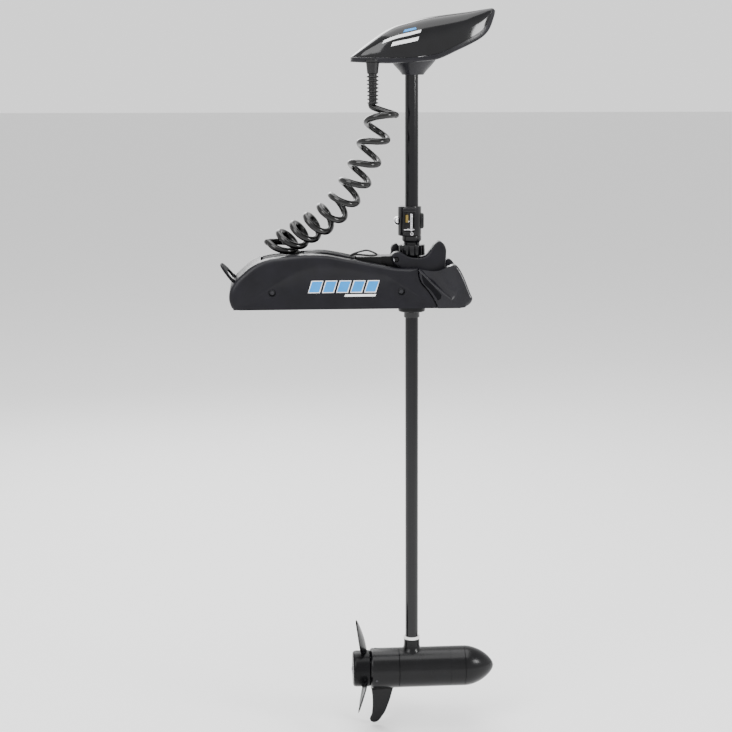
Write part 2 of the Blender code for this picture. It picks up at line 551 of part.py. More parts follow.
HEAD_PLAN = [(-129.5, 0, 1), (-126, 20, 1), (-108, 33, 1), (-85, 41, 1), (-55, 50, 1), (0, 57, 1), (60, 54, 1),
             (110, 42, 1), (150, 25, 1), (171, 12, 1), (178.6, 0, 1)]


def head_plan(inset=0.0):
    """Half of the head's outline from above."""
    wide = [(x * MM + (inset if x < 0 else -inset), max(y * MM - inset, 0), 1) for x, y, _ in HEAD_PLAN]
    return both_sides([wide[0]] + [p for p in wide[1:-1] if p[1] > 0] + [wide[-1]])


def seam_line(rise):
    """The seam between the head's pan and its cover, raised square to itself."""
    points = [(-131, 37), (-45, 35.5), (0, 36.5), (50, 44), (91, 62), (121, 77), (143, 90), (157, 104), (166, 121),
              (171.5, 136)]
    return [(x * MM - rise, NECK_Z + z * MM + rise) for x, z in points]


def head_cover():
    """The head's upper shell, open below."""
    crest = [(172.5, 140.3), (119, 132), (68, 125.5), (29, 119.6), (-5, 111), (-37, 101.5),
             (-64, 87), (-88, 70), (-108, 55), (-125, 41.5)]
    top = [(x * MM, NECK_Z + z * MM) for x, z in crest]
    cover = outline("head_cover", top + seam_line(0.3 * MM), -0.07, 0.07, look="gloss_black")
    combine(cover, "INTERSECT", outline("cover_plan", head_plan(), NECK_Z - 0.1, NECK_Z + 0.3, "XY", steps=2))
    soften(cover, 7 * MM, 1, 50)
    inner = [(x * MM * 0.96 - 3 * MM, NECK_Z + z * MM - 4 * MM) for x, z in crest]
    hollow = outline("cover_inside", inner + seam_line(-9 * MM), -0.07, 0.07)
    combine(hollow, "INTERSECT", outline("inside_plan", head_plan(5 * MM), NECK_Z - 0.1, NECK_Z + 0.3, "XY", steps=2))
    cut(cover, hollow)


def head_pan():
    """The head's lower shell, with the neck that holds the shaft and the pocket for the cord's gland."""
    low = [(173, 140.2), (176.5, 139), (178.6, 134), (176, 124), (165.3, 97), (150, 80), (127, 66.5), (95, 51.5),
           (56, 34), (30, 29), (-45, 24), (-126, 26.5)]
    rim = [(x * MM, NECK_Z + z * MM) for x, z in low]
    pan = outline("head_pan", seam_line(-0.3 * MM) + rim, -0.07, 0.07, look="pan_grey")
    combine(pan, "INTERSECT", outline("pan_plan", head_plan(), NECK_Z - 0.1, NECK_Z + 0.3, "XY", steps=2))
    neck = cylinder("neck", (0, 0, 0), "Z", 30 * MM, 24 * MM, end_r=50 * MM, sides=40)
    neck.data.transform(Matrix.Translation((2 * MM, 0, NECK_Z)) @ Matrix.Diagonal((1, 0.8, 1, 1)))
    join(pan, neck)
    gland_x, gland_y = GLAND
    cut(pan, cylinder("shaft_seat", (0, 0, NECK_Z - 0.01), "Z", 0.1, BORE_R),
        cylinder("gland_pocket", (gland_x, gland_y, NECK_Z - 0.02), "Z", 52 * MM, GLAND_R + FIT, sides=28),
        cylinder("gland_hole", (gland_x, gland_y, NECK_Z), "Z", 0.1, 8 * MM + FIT, sides=20))
    for x, y in HEAD_SCREWS:
        cut(pan, cylinder("screw_hole", (x, y, NECK_Z), "Z", 0.1, 1.8 * MM + FIT, sides=12))
    for x, y in HEAD_SCREWS:
        base = NECK_Z + 50 * MM
        screw = turned(f"head_screw_{'front' if y < 0 else 'back'}",
                       [(0, base + 12 * MM), (1.8 * MM, base + 12 * MM), (1.8 * MM, base - 9 * MM),
                        (4 * MM, base - 9.3 * MM), (4 * MM, base - 12 * MM), (0, base - 12 * MM)], "steel",
                       at=(x, y, 0), sides=16)
        place = cylinder("screw_pocket", (x, y, NECK_Z - 0.01), "Z", base - 9 * MM + FIT - NECK_Z + 0.01, 4.4 * MM,
                         sides=16)
        cut(pan, place)


def strain_relief():
    """The cord's gland at the head and the ribbed, tapered relief below it."""
    top = NECK_Z + 31.7 * MM
    turned("cord_gland", [(0, top + 3.6 * MM), (8 * MM, top + 3.6 * MM), (8 * MM, top), (GLAND_R, top),
                          (GLAND_R, NECK_Z + 26.7 * MM), (0, NECK_Z + 26.7 * MM)], "rubber", at=(*GLAND, 0), sides=24)
    z = NECK_Z + 26.4 * MM
    profile = [(0, z), (GLAND_R - 1 * MM, z), (11.6 * MM, NECK_Z + 3 * MM)]
    ribs = 6
    pitch = 10.5 * MM
    z = NECK_Z + 1 * MM
    for _ in range(ribs):
        profile += [(9.6 * MM, z), (9.6 * MM, z - 0.35 * pitch), (12.4 * MM, z - 0.45 * pitch),
                    (12.4 * MM, z - 0.9 * pitch)]
        z -= pitch
    turned("strain_relief", profile + [(0, z + 0.1 * pitch)], "rubber", at=(*GLAND, 0), sides=16)


def lower_unit():
    """The submerged motor: case with its boss, bell, nose, skeg, and what is inside."""
    z = MOTOR_Z
    seam = -30 * MM
    nose = 119 * MM
    case = tube("motor_case", seam, nose, CASE_R, CASE_R - CASE_WALL, "cast_black", "X", (0, z), 32)
    join(case, cylinder("boss", (0, 0, z + CASE_R - 3 * MM), "Z", 66.4 * MM - CASE_R + 3 * MM, BOSS_R, sides=28))
    cut(case, cylinder("boss_bore", (0, 0, z + CASE_R - 8 * MM), "Z", 0.1, BORE_R, sides=32))
    tube("seal_ring", z + 66.7 * MM, z + 74.5 * MM, BOSS_R + 1 * MM, BORE_R, "seal_white")
    turned("nose_cone", [(0, 68 * MM), (9 * MM, 66.5 * MM), (20 * MM, 60 * MM), (30 * MM, 48 * MM), (38 * MM, 31 * MM),
                         (43 * MM, 14 * MM), (CASE_R, FIT), (CASE_R - CASE_WALL, FIT), (34 * MM, 20 * MM),
                         (11 * MM, 24 * MM), (11 * MM, 30 * MM), (0, 30 * MM)],
           "cast_black", "X", (nose, 0, z), sides=32)
    back = -95 * MM
    turned("rear_bell", [(CASE_R - CASE_WALL, seam - FIT), (CASE_R, seam - FIT), (CASE_R, back + 4 * MM),
                         (CASE_R - 3 * MM, back), (8 * MM, back), (8 * MM, back + 6 * MM), (11.3 * MM, back + 6 * MM),
                         (11.3 * MM, back + 16 * MM), (CASE_R - CASE_WALL, back + 16 * MM)],
           "cast_black", "X", (0, 0, z), True, 32)
    fin = [(-92 * MM, z - CASE_R - FIT), (-89.5 * MM, z - 72 * MM), (-91 * MM, z - 107 * MM),
           (-95 * MM, z - 123 * MM, 1), (-84 * MM, z - 130 * MM, 1), (-66 * MM, z - 113 * MM, 1),
           (-53 * MM, z - 85 * MM, 1), (-42 * MM, z - CASE_R - FIT)]
    soften(outline("skeg", fin, -2.5 * MM, 2.5 * MM, look="cast_black"), 0.8 * MM, 1)
    tube("field_magnets", 2 * MM, 96 * MM, CASE_R - CASE_WALL - FIT, 36 * MM, "cast_black", "X", (0, z), 32)
    tube("brush_plate", -40 * MM, -34 * MM, CASE_R - CASE_WALL - FIT, 17 * MM, "circuit", "X", (0, z), 32)
    tube("front_bearing", nose + 21 * MM, nose + 29 * MM, 11 * MM - FIT, 5 * MM + FIT, "steel", "X", (0, z), 24)
    tube("rear_bearing", back + 7 * MM, back + 14 * MM, 11 * MM, 5 * MM + FIT, "steel", "X", (0, z), 24)
    tube("shaft_seal", back + 0.5 * MM, back + 5.5 * MM, 8 * MM - FIT, 5 * MM + FIT, "rubber", "X", (0, z), 24)


def propeller():
    """The hub with three swept blades, the shaft with its armature, and the nut."""
    z = MOTOR_Z
    hub = turned("propeller", [(0, 19.4 * MM), (HUB_R - 1.5 * MM, 19.4 * MM), (HUB_R, 17 * MM), (HUB_R, -10 * MM),
                               (HUB_R - 8 * MM, -19 * MM), (11 * MM, -19 * MM), (11 * MM, -12 * MM), (0, -12 * MM)],
                 "gloss_black", "X", (PROP_X, 0, z), sides=32)
    reach = PROP_R - HUB_R
    root = HUB_R - 4 * MM
    blade = [(-15 * MM, root), (-23 * MM, root + 0.35 * reach, 1), (-24 * MM, root + 0.75 * reach, 1),
             (-12 * MM, root + reach, 1), (6 * MM, root + reach + 2 * MM, 1), (20 * MM, root + 0.72 * reach, 1),
             (22 * MM, root + 0.35 * reach, 1), (15 * MM, root)]
    for i in range(3):
        fan = outline("blade", blade, -1.7 * MM, 1.7 * MM, steps=2)
        fan.matrix_world = (Matrix.Translation((PROP_X, 0, z)) @ Matrix.Rotation(math.tau * i / 3, 4, "X")
                            @ Matrix.Rotation(math.radians(62), 4, "Z"))
        join(hub, fan)
    cut(hub, cylinder("hub_bore", (-0.3, 0, z), "X", 0.6, 5 * MM + FIT, sides=20))
    cylinder("prop_shaft", (PROP_X - 22 * MM, 0, z), "X", 27 * MM + 119 * MM - PROP_X, 5 * MM, "steel", sides=24)
    tube("armature", 5 * MM, 92 * MM, 34 * MM, 5 * MM + FIT, "copper", "X", (0, z), 32)
    tube("commutator", -44 * MM, -24 * MM, 15 * MM, 5 * MM + FIT, "copper", "X", (0, z), 24)
    nut = cylinder("prop_nut", (PROP_X - 21 * MM, 0, z), "X", 8.5 * MM, 9 * MM, "steel", sides=6)
    cut(nut, cylinder("nut_bore", (PROP_X - 0.1, 0, z), "X", 0.2, 5 * MM + FIT, sides=20))


def collar():
    """The depth collar that clamps the shaft above the sleeve, with its shoe, knob, pin and lever."""
    low, high, mid = COLLAR_LOW, COLLAR_LOW + COLLAR_HEIGHT, COLLAR_MID
    middle = (COLLAR_OFFSET, 0)
    body = soften(cylinder("depth_collar", (*middle, low), "Z", COLLAR_HEIGHT, COLLAR_R, "gloss_black", sides=24),
                  1.5 * MM, 1)
    bump = soften(block("collar_bump", (12 * MM, -11 * MM, mid - 17 * MM), (26 * MM, 11 * MM, mid + 17 * MM)), 4 * MM)
    join(body, bump)
    cut(body, cylinder("collar_bore", (0, 0, low - 0.01), "Z", 0.1, BORE_R),
        block("collar_window", (-16 * MM, -40 * MM, low + 9 * MM), (3 * MM, -17 * MM, high - 13 * MM)),
        cylinder("knob_hole", (-0.06, 0, mid), "X", 0.06, 3 * MM + FIT, sides=20),
        cylinder("lever_pin_hole", (-19 * MM, LEVER_Y, LEVER_Z), "X", 26 * MM, 1.5 * MM + FIT, sides=12))
    block("clamp_shoe", (-15 * MM, -24 * MM, mid - 2 * MM), (-9.5 * MM, -17.4 * MM, mid + 14 * MM), "brass")
    cylinder("lever_pin", (-18.5 * MM, LEVER_Y, LEVER_Z), "X", 24.5 * MM, 1.5 * MM, "steel", sides=12)


def clamp_knob():
    edge = COLLAR_OFFSET - COLLAR_R
    knob = turned("clamp_knob", [(0, 10 * MM), (5 * MM, 8.8 * MM), (8.4 * MM, 5.5 * MM), (9.5 * MM, 1.5 * MM),
                                 (9.2 * MM, FIT), (3 * MM, FIT), (3 * MM, -14 * MM), (0, -14 * MM)], "chrome", sides=28)
    knob.matrix_world = Matrix.Translation((edge, 0, COLLAR_MID)) @ Matrix.Rotation(math.radians(-90), 4, "Y")


def cam_lever():
    lever = soften(block("cam_lever", (-7 * MM, LEVER_Y - 4 * MM, LEVER_Z - 3.4 * MM),
                         (1.6 * MM, LEVER_Y + 2.6 * MM, LEVER_Z + 35 * MM), "chrome"), 1.4 * MM)
    cut(lever, cylinder("lever_bore", (-0.1, LEVER_Y, LEVER_Z), "X", 0.2, 1.5 * MM + FIT, sides=12))


def shaft_assembly():
    top = NECK_Z + 50 * MM
    tube("shaft_tube", MOTOR_Z + 42 * MM, top, SHAFT_R, SHAFT_R - SHAFT_WALL, "shaft_black")
    head_cover()
    head_pan()
    board = block("gps_board", (-40 * MM, -30 * MM, NECK_Z + 60 * MM), (70 * MM, 30 * MM, NECK_Z + 61.6 * MM), "circuit")
    join(board, block("gps_antenna", (18 * MM, -12.5 * MM, NECK_Z + 61 * MM), (43 * MM, 12.5 * MM, NECK_Z + 68 * MM)),
         cylinder("compass", (-20 * MM, 0, NECK_Z + 61 * MM), "Z", 5 * MM, 8 * MM, sides=20))
    strain_relief()
    lower_unit()


# ---- cords ----

def cord(name, route, radius, sides, points, end=1.0):
    """A tube along a smooth curve through its route's points, narrowing over its last fifth."""
    def smooth(t):
        i = min(int(t), len(route) - 2)
        f = t - i
        ends = [route[max(i - 1, 0)], route[i], route[i + 1], route[min(i + 2, len(route) - 1)]]
        a, b, c, d = (Vector(p) for p in ends)
        return 0.5 * (2 * b + (c - a) * f + (2 * a - 5 * b + 4 * c - d) * f * f + (3 * b - a - 3 * c + d) * f ** 3)

    curve = bpy.data.curves.new(name, "CURVE")
    curve.dimensions = "3D"
    curve.bevel_depth = radius
    curve.bevel_resolution = sides
    curve.use_fill_caps = True
    spline = curve.splines.new("POLY")
    spline.points.add(points - 1)
    for i, point in enumerate(spline.points):
        point.co = (*smooth(i * (len(route) - 1) / (points - 1)), 1)
        point.radius = 1 - (1 - end) * max(5 * i / (points - 1) - 4, 0)
    obj = bpy.data.objects.new(name, curve)
    parts.objects.link(obj)
    paint(obj, "rubber")


def cords():
    cord("curly_cord", [Vector(p) * MM for p in COIL_ROUTE], COIL_R, 3, 17, COIL_END)
    cord("cord_tail", [Vector(p) * MM for p in TAIL_ROUTE], CORD_R, 3, 19)
    cord("pull_loop", [Vector(p) * MM for p in LOOP_ROUTE], ROPE_R, 2, 20)


# ---- bodies: one empty for each, on its joint's axis ----

def body(name, at, parent, makers):
    """Build the pieces of one moving body and hang them on its empty."""
    before = set(parts.objects)
    for make in makers:
        make()
    empty = bpy.data.objects.new(name, None)
    bpy.context.scene.collection.objects.link(empty)
    empty.parent = parent
    if parent:
        empty.location = Vector(at) - Vector(JOINTS[parent.name])
    else:
        empty.location = (SHAFT_X, 0, 0)
    JOINTS[name] = at
    for obj in [o for o in parts.objects if o not in before]:
        place = Matrix.Translation(-Vector(at)) @ obj.matrix_world
        obj.parent = empty
        obj.matrix_basis = place
    return empty


def main():
    mount = body("mount_base", (0, 0, 0), None, [deck_mount, cords])
    body("pedal_arm_set", (PEDAL_X, 0, PEDAL_Z), mount, [release_pedal])
    body("latch", (0, 0, 28 * MM), mount, [latch_rod])
    unit = body("steering_set", (PIVOT_X, 0, PIVOT_Z), mount, [steering_unit])
    body("pinion_set", (GEAR_CENTRES, 0, 0), unit, [steer_pinion])
    head = body("drive_set", (0, 0, 0), unit, [drive_head])
    shaft = body("shaft_set", (0, 0, 0), head, [shaft_assembly])
    body("prop_set", (PROP_X, 0, MOTOR_Z), shaft, [propeller])
    clamp = body("collar_set", (0, 0, COLLAR_MID), shaft, [collar])
    body("knob_set", (COLLAR_OFFSET - COLLAR_R, 0, COLLAR_MID), clamp, [clamp_knob])
    body("lever_set", (0, LEVER_Y, LEVER_Z), clamp, [cam_lever])
    for cutter in cutters.objects:
        cutter.matrix_world = Matrix.Translation((SHAFT_X, 0, 0)) @ cutter.matrix_world


main()
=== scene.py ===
"""Looks of the bow-mount trolling motor: finer shells, the curly cord and a material for every surface.

Lengths are in metres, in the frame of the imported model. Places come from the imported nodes' boxes. The few
free points of an outline are given from the shaft's axis, which is where S.x lies.
"""

import json
import math

import bmesh
import bpy
from mathutils import Matrix, Vector


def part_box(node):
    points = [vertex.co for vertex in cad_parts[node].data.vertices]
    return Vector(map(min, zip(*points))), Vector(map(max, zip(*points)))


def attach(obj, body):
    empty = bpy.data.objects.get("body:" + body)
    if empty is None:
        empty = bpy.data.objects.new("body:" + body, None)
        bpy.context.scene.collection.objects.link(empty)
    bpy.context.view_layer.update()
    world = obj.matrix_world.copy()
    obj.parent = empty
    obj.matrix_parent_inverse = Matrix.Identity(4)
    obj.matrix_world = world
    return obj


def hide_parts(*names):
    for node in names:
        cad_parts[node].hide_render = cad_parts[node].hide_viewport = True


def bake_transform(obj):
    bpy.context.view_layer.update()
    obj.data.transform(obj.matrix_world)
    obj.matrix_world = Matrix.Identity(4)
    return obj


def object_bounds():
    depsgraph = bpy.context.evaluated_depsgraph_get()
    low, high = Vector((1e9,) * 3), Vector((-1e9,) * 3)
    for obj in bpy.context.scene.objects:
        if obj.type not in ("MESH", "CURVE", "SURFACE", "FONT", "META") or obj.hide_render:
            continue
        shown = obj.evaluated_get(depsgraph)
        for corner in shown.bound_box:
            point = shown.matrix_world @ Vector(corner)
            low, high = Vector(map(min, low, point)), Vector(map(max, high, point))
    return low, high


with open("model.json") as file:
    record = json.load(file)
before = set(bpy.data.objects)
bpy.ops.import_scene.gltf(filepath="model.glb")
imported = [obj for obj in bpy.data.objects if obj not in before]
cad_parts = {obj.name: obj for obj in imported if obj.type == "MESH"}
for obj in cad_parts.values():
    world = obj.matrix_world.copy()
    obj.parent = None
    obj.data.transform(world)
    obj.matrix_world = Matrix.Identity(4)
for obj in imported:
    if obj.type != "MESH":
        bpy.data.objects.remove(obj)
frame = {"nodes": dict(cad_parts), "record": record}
cad_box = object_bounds()

MM = 0.001
NODES = frame["nodes"]


def middle(node):
    low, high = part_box(node)
    return (low + high) / 2


def word(side):
    return "near" if side < 0 else "far"


# sizes read from the frame
S = Vector((middle("shaft_tube").x, 0, 0))
TUBE_LOW, TUBE_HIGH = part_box("shaft_tube")
SHAFT_R = (TUBE_HIGH.y - TUBE_LOW.y) / 2
NECK_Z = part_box("head_pan")[0].z
NOSE_LOW, NOSE_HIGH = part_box("nose_cone")
CASE_R = (NOSE_HIGH.z - NOSE_LOW.z) / 2
MOTOR_Z = NOSE_LOW.z + CASE_R
BASE_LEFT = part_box("side_cover_near")[0].x - S.x
BASE_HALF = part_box("side_cover_far")[1].y
RAMP_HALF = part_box("ramp_far")[1].y
FORK_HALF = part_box("ramp_far")[0].y
BASE_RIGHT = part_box("ramp_far")[1].x - S.x
GLAND = middle("cord_gland")
RELIEF_LOW, RELIEF_HIGH = (corner.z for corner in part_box("strain_relief"))

# sizes of the finer shells that no packed box gives
SHAFT_BORE = SHAFT_R + 0.3 * MM
SLEEVE_BORE = 14.7 * MM
SLEEVE_SLIM = 17.2 * MM
FLANGE_BORE = 17.6 * MM
DISH_R = 31.5 * MM
BOSS_R = 17.5 * MM
RAIL_GAP = 62.3 * MM
SPINE_GAP = 33 * MM
SEAM_GAP = 0.3 * MM
PANEL_DEPTH = 1.4 * MM
SPINE_ROUND = 5 * MM
SPINE_CROWN = 1.2 * MM
BOLTS = (-27.8 * MM, BASE_LEFT + 91.5 * MM)
BOLT_Z = 37.6 * MM
BOLT_RECESS_R = 8.2 * MM
PEDAL_LEAN = math.radians(129.7)
RING_FLUTES = 10
FLUTE_DEPTH = 2.6 * MM
LEVER_TRIM = 1.5 * MM
RELIEF_PITCH = 7.8 * MM
PROP_TURN = math.radians(10)
HUB_R = 41 * MM


# ---- materials ----

MATERIALS = {}
BROAD = {"Scale": 28, "Detail": 6}
SMEAR = {"Scale": 75, "Detail": 8, "Roughness": 0.65}
BUMP_DEPTH = 0.4 * MM
COAT_ROUGH = 0.06


def add(tree, kind, values):
    """A new node of a material or of the world, with its constants."""
    node = tree.nodes.new("ShaderNode" + kind)
    for name, value in values.items():
        node.inputs[name].default_value = value
    return node


def material(name, colour, rough, metal=0.0, grain=0.0, scale=900.0, uneven=0.08, coat=0.0, stretch=(1, 1, 1),
             shade=0.25, fine="noise", shine=0.5):
    """A surface with a grain in its bump, an uneven gloss and a colour that varies a little."""
    if name in MATERIALS:
        return MATERIALS[name]
    mat = bpy.data.materials.new(name)
    mat.use_nodes = True
    tree = mat.node_tree
    shader = tree.nodes["Principled BSDF"]
    shader.inputs["Metallic"].default_value = metal
    shader.inputs["Specular IOR Level"].default_value = shine
    shader.inputs["Coat Weight"].default_value = coat
    shader.inputs["Coat Roughness"].default_value = COAT_ROUGH
    place = tree.nodes.new("ShaderNodeTexCoord")
    fit = add(tree, "Mapping", {"Scale": stretch})
    tree.links.new(place.outputs["Object"], fit.inputs["Vector"])

    broad = add(tree, "TexNoise", BROAD)
    tree.links.new(fit.outputs["Vector"], broad.inputs["Vector"])
    tint = tree.nodes.new("ShaderNodeValToRGB")
    tint.color_ramp.elements[0].position = 0.35
    tint.color_ramp.elements[1].position = 0.70
    tint.color_ramp.elements[0].color = (*[c * (1 - shade) for c in colour], 1)
    tint.color_ramp.elements[1].color = (*[min(c * (1 + shade), 1) for c in colour], 1)
    tree.links.new(broad.outputs["Fac"], tint.inputs["Fac"])
    tree.links.new(tint.outputs["Color"], shader.inputs["Base Color"])

    gloss = add(tree, "MapRange", {"From Min": 0.3, "From Max": 0.7, "To Min": max(rough - uneven, 0.02),
                                   "To Max": rough + uneven})
    smear = add(tree, "TexNoise", SMEAR)
    tree.links.new(fit.outputs["Vector"], smear.inputs["Vector"])
    tree.links.new(smear.outputs["Fac"], gloss.inputs["Value"])
    tree.links.new(gloss.outputs["Result"], shader.inputs["Roughness"])

    if grain:
        if fine == "cells":
            texture = add(tree, "TexVoronoi", {"Scale": scale})
            source = texture.outputs["Distance"]
        else:
            texture = add(tree, "TexNoise", {"Scale": scale, "Detail": 3})
            source = texture.outputs["Fac"]
        tree.links.new(fit.outputs["Vector"], texture.inputs["Vector"])
        bump = add(tree, "Bump", {"Strength": grain, "Distance": BUMP_DEPTH})
        tree.links.new(source, bump.inputs["Height"])
        tree.links.new(bump.outputs["Normal"], shader.inputs["Normal"])
    MATERIALS[name] = mat
    return mat


def cover_black():
    return material("cover_black", (0.0042, 0.004, 0.0064), 0.36, grain=0.14, scale=1300, uneven=0.05,
                    shine=0.24)


def ramp_black():
    return material("ramp_black", (0.005, 0.0048, 0.0074), 0.21, grain=0.06, scale=1300, uneven=0.04,
                    shine=0.42)


def textured_black():
    return material("textured_black", (0.004, 0.004, 0.0052), 0.6, grain=0.6, fine="cells", shine=0.07)


def gloss_black():
    return material("gloss_black", (0.0026, 0.0026, 0.0034), 0.12, grain=0.012, scale=240, uneven=0.015,
                    shine=0.36)


def pan_grey():
    return material("pan_grey", (0.0075, 0.0073, 0.01), 0.3, grain=0.06, scale=1300, uneven=0.05, shine=0.3)


def cast_black():
    return material("cast_black", (0.0026, 0.0026, 0.0032), 0.25, grain=0.02, scale=1500, uneven=0.03,
                    shine=0.24)


def prop_black():
    return material("prop_black", (0.003, 0.003, 0.0036), 0.26, grain=0.02, scale=1300, uneven=0.04,
                    shine=0.12)


def shaft_black():
    return material("shaft_black", (0.0026, 0.0026, 0.0034), 0.17, grain=0.02, scale=1200, stretch=(1, 1, 0.04),
                    uneven=0.03, shine=0.34)


def cord_black():
    return material("cord_black", (0.0022, 0.0022, 0.0022), 0.17, grain=0.02, scale=1600, uneven=0.03,
                    shine=0.4)


def rubber():
    return material("rubber", (0.0045, 0.0045, 0.0048), 0.42, grain=0.16, scale=1100, shine=0.4)


def anodised():
    return material("anodised", (0.02, 0.02, 0.023), 0.36, 0.9, grain=0.12, scale=1200, stretch=(0.03, 1, 1))


def steel():
    return material("steel", (0.58, 0.58, 0.6), 0.24, 1.0, grain=0.12, stretch=(0.08, 1, 1))


def dark_steel():
    return material("dark_steel", (0.055, 0.055, 0.06), 0.28, 1.0, grain=0.1)


def chrome():
    return material("chrome", (0.78, 0.78, 0.8), 0.09, 1.0, grain=0.02, scale=200, uneven=0.05)


def brass():
    return material("brass", (0.3, 0.22, 0.07), 0.3, 1.0, grain=0.12)


def copper():
    return material("copper", (0.7, 0.32, 0.16), 0.32, 1.0, grain=0.5, scale=700, stretch=(0.05, 1, 1))


def circuit():
    return material("circuit", (0.015, 0.1, 0.045), 0.42, grain=0.5, scale=330, fine="cells", shade=0.5)


def seal_white():
    return material("seal_white", (0.8, 0.8, 0.79), 0.35, grain=0.1, scale=800, shade=0.06)


def cyan():
    return material("cyan_print", (0.002, 0.23, 0.62), 0.36, grain=0.05, shade=0.08)


def white():
    return material("white_print", (0.84, 0.85, 0.86), 0.38, grain=0.05, shade=0.05)


def rope_black():
    return material("rope_black", (0.01, 0.01, 0.011), 0.55, grain=0.9, scale=1500, fine="cells")


LOOKS = {look.__name__: look for look in (
    cover_black, gloss_black, pan_grey, cast_black, anodised, shaft_black, rubber, steel, chrome, brass,
    seal_white, circuit, copper)}


def paint_frame():
    """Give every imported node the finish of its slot."""
    slots = {part["node"]: part["material_slot"] for part in frame["record"]["subparts"]}
    for name, node in NODES.items():
        node.data.materials.clear()
        node.data.materials.append(LOOKS[slots[name]]())


# ---- mesh tools ----

WELD = 0.000002


def linked(name, data):
    """A new object of the scene that shows the data."""
    obj = bpy.data.objects.new(name, data)
    bpy.context.scene.collection.objects.link(obj)
    return obj


def from_bmesh(name, bm, sharp=35):
    bmesh.ops.recalc_face_normals(bm, faces=bm.faces)
    mesh = bpy.data.meshes.new(name)
    bm.to_mesh(mesh)
    bm.free()
    mesh.shade_smooth()
    mesh.set_sharp_from_angle(angle=math.radians(sharp))
    return linked(name, mesh)


def rings_mesh(name, rings, closed=True, sharp=35):
    """A skin over rings of points that all have the same count, capped at both ends."""
    bm = bmesh.new()
    loops = [[bm.verts.new(p) for p in ring] for ring in rings]
    count = len(loops[0])
    for a, b in zip(loops, loops[1:]):
        for i in range(count if closed else count - 1):
            j = (i + 1) % count
            bm.faces.new((a[i], a[j], b[j], b[i]))
    for cap in (loops[0], loops[-1]):
        bm.faces.new(cap)
    bmesh.ops.remove_doubles(bm, verts=bm.verts, dist=WELD)
    bmesh.ops.triangulate(bm, faces=[f for f in bm.faces if len(f.verts) > 4])
    return from_bmesh(name, bm, sharp)


AXES = {"X": Matrix.Rotation(math.radians(90), 4, "Y"), "Z": Matrix.Identity(4),
        "Y": Matrix.Rotation(math.radians(-90), 4, "X")}


def lathe(name, profile, at=(0, 0, 0), axis="Z", sides=72, sharp=30, squeeze=1.0):
    """A solid of revolution. The profile's ends lie on the axis, or it is a closed ring of points."""
    place = Matrix.Translation(at) @ AXES[axis]
    bm = bmesh.new()
    closed = profile[0][0] > 1e-7
    loops = []
    for k in range(sides):
        angle = math.tau * k / sides
        c, s = math.cos(angle), math.sin(angle) * squeeze
        loops.append([bm.verts.new(place @ Vector((r * c, r * s, z))) for r, z in profile])
    for k in range(sides):
        a, b = loops[k], loops[(k + 1) % sides]
        for i in range(len(profile) if closed else len(profile) - 1):
            j = (i + 1) % len(profile)
            bm.faces.new((a[i], a[j], b[j], b[i]))
    bmesh.ops.remove_doubles(bm, verts=bm.verts, dist=WELD)
    return from_bmesh(name, bm, sharp)


def arc(centre, r, start, end, steps=5):
    """Points on an arc of a profile, angles in degrees from its first axis."""
    turn = [math.radians(start + (end - start) * i / steps) for i in range(steps + 1)]
    return [(centre[0] + r * math.cos(a), centre[1] + r * math.sin(a)) for a in turn]


def outline(points, steps=8):
    """A closed line through points in millimetres. A point with a third value is smooth, not a corner."""
    curve = bpy.data.curves.new("line", "CURVE")
    curve.dimensions = "2D"
    curve.fill_mode = "NONE"
    curve.resolution_u = steps
    spline = curve.splines.new("BEZIER")
    spline.use_cyclic_u = True
    spline.bezier_points.add(len(points) - 1)
    for handle, point in zip(spline.bezier_points, points):
        handle.co = (point[0] * MM, point[1] * MM, 0)
        kind = "AUTO" if len(point) > 2 else "VECTOR"
        handle.handle_left_type = kind
        handle.handle_right_type = kind
    drawn = linked("line", curve)
    bpy.context.view_layer.update()
    mesh = drawn.to_mesh()
    line = [(v.co.x, v.co.y) for v in mesh.vertices]
    drawn.to_mesh_clear()
    bpy.data.objects.remove(drawn)
    return line


def shrunk(line, amount):
    """A closed outline with each point moved inwards."""
    area = sum(a[0] * b[1] - b[0] * a[1] for a, b in zip(line, line[1:] + line[:1]))
    sign = 1 if area > 0 else -1
    moved = []
    for i, point in enumerate(line):
        before, after = Vector(line[i - 1]), Vector(line[(i + 1) % len(line)])
        here = Vector(point)
        one, two = (here - before), (after - here)
        one = one.normalized() if one.length > 1e-9 else two.normalized()
        two = two.normalized() if two.length > 1e-9 else one
        normal = Vector((-one.y - two.y, one.x + two.x)) * sign
        normal = normal.normalized() if normal.length > 1e-6 else Vector((-one.y, one.x)) * sign
        stretch = min(1 / max(normal.dot(Vector((-one.y, one.x)) * sign), 0.5), 1.6)
        moved.append((point[0] + normal.x * amount * stretch, point[1] + normal.y * amount * stretch))
    return moved


def slab(name, line, sections, plane="XZ", sharp=35):
    """An outline carried along a direction: each section is (place, how far the outline shrinks)."""
    rings = []
    for place, shrink in sections:
        ring = shrunk(line, shrink) if shrink else line
        rings.append([(S.x + x, place, z) if plane == "XZ" else (S.x + x, z, place) for x, z in ring])
    return rings_mesh(name, rings, sharp=sharp)


def rounded(low, high, radius, steps=4):
    """Sections of a slab whose edges are round at both ends."""
    turns = [math.pi / 2 * i / steps for i in range(steps + 1)]
    one = [(low + radius * (1 - math.sin(a)), radius * (1 - math.cos(a))) for a in reversed(turns)]
    two = [(high - radius * (1 - math.sin(a)), radius * (1 - math.cos(a))) for a in turns]
    return one + two


def box_mesh(name, low, high, radius=0.0):
    bm = bmesh.new()
    size = [h - l for l, h in zip(low, high)]
    centre = [(h + l) / 2 for l, h in zip(low, high)]
    bmesh.ops.create_cube(bm, size=1, matrix=Matrix.Translation(centre) @ Matrix.Diagonal((*size, 1)))
    if radius:
        bmesh.ops.bevel(bm, geom=bm.edges[:], offset=radius, segments=4, affect="EDGES", profile=0.5)
    return from_bmesh(name, bm)


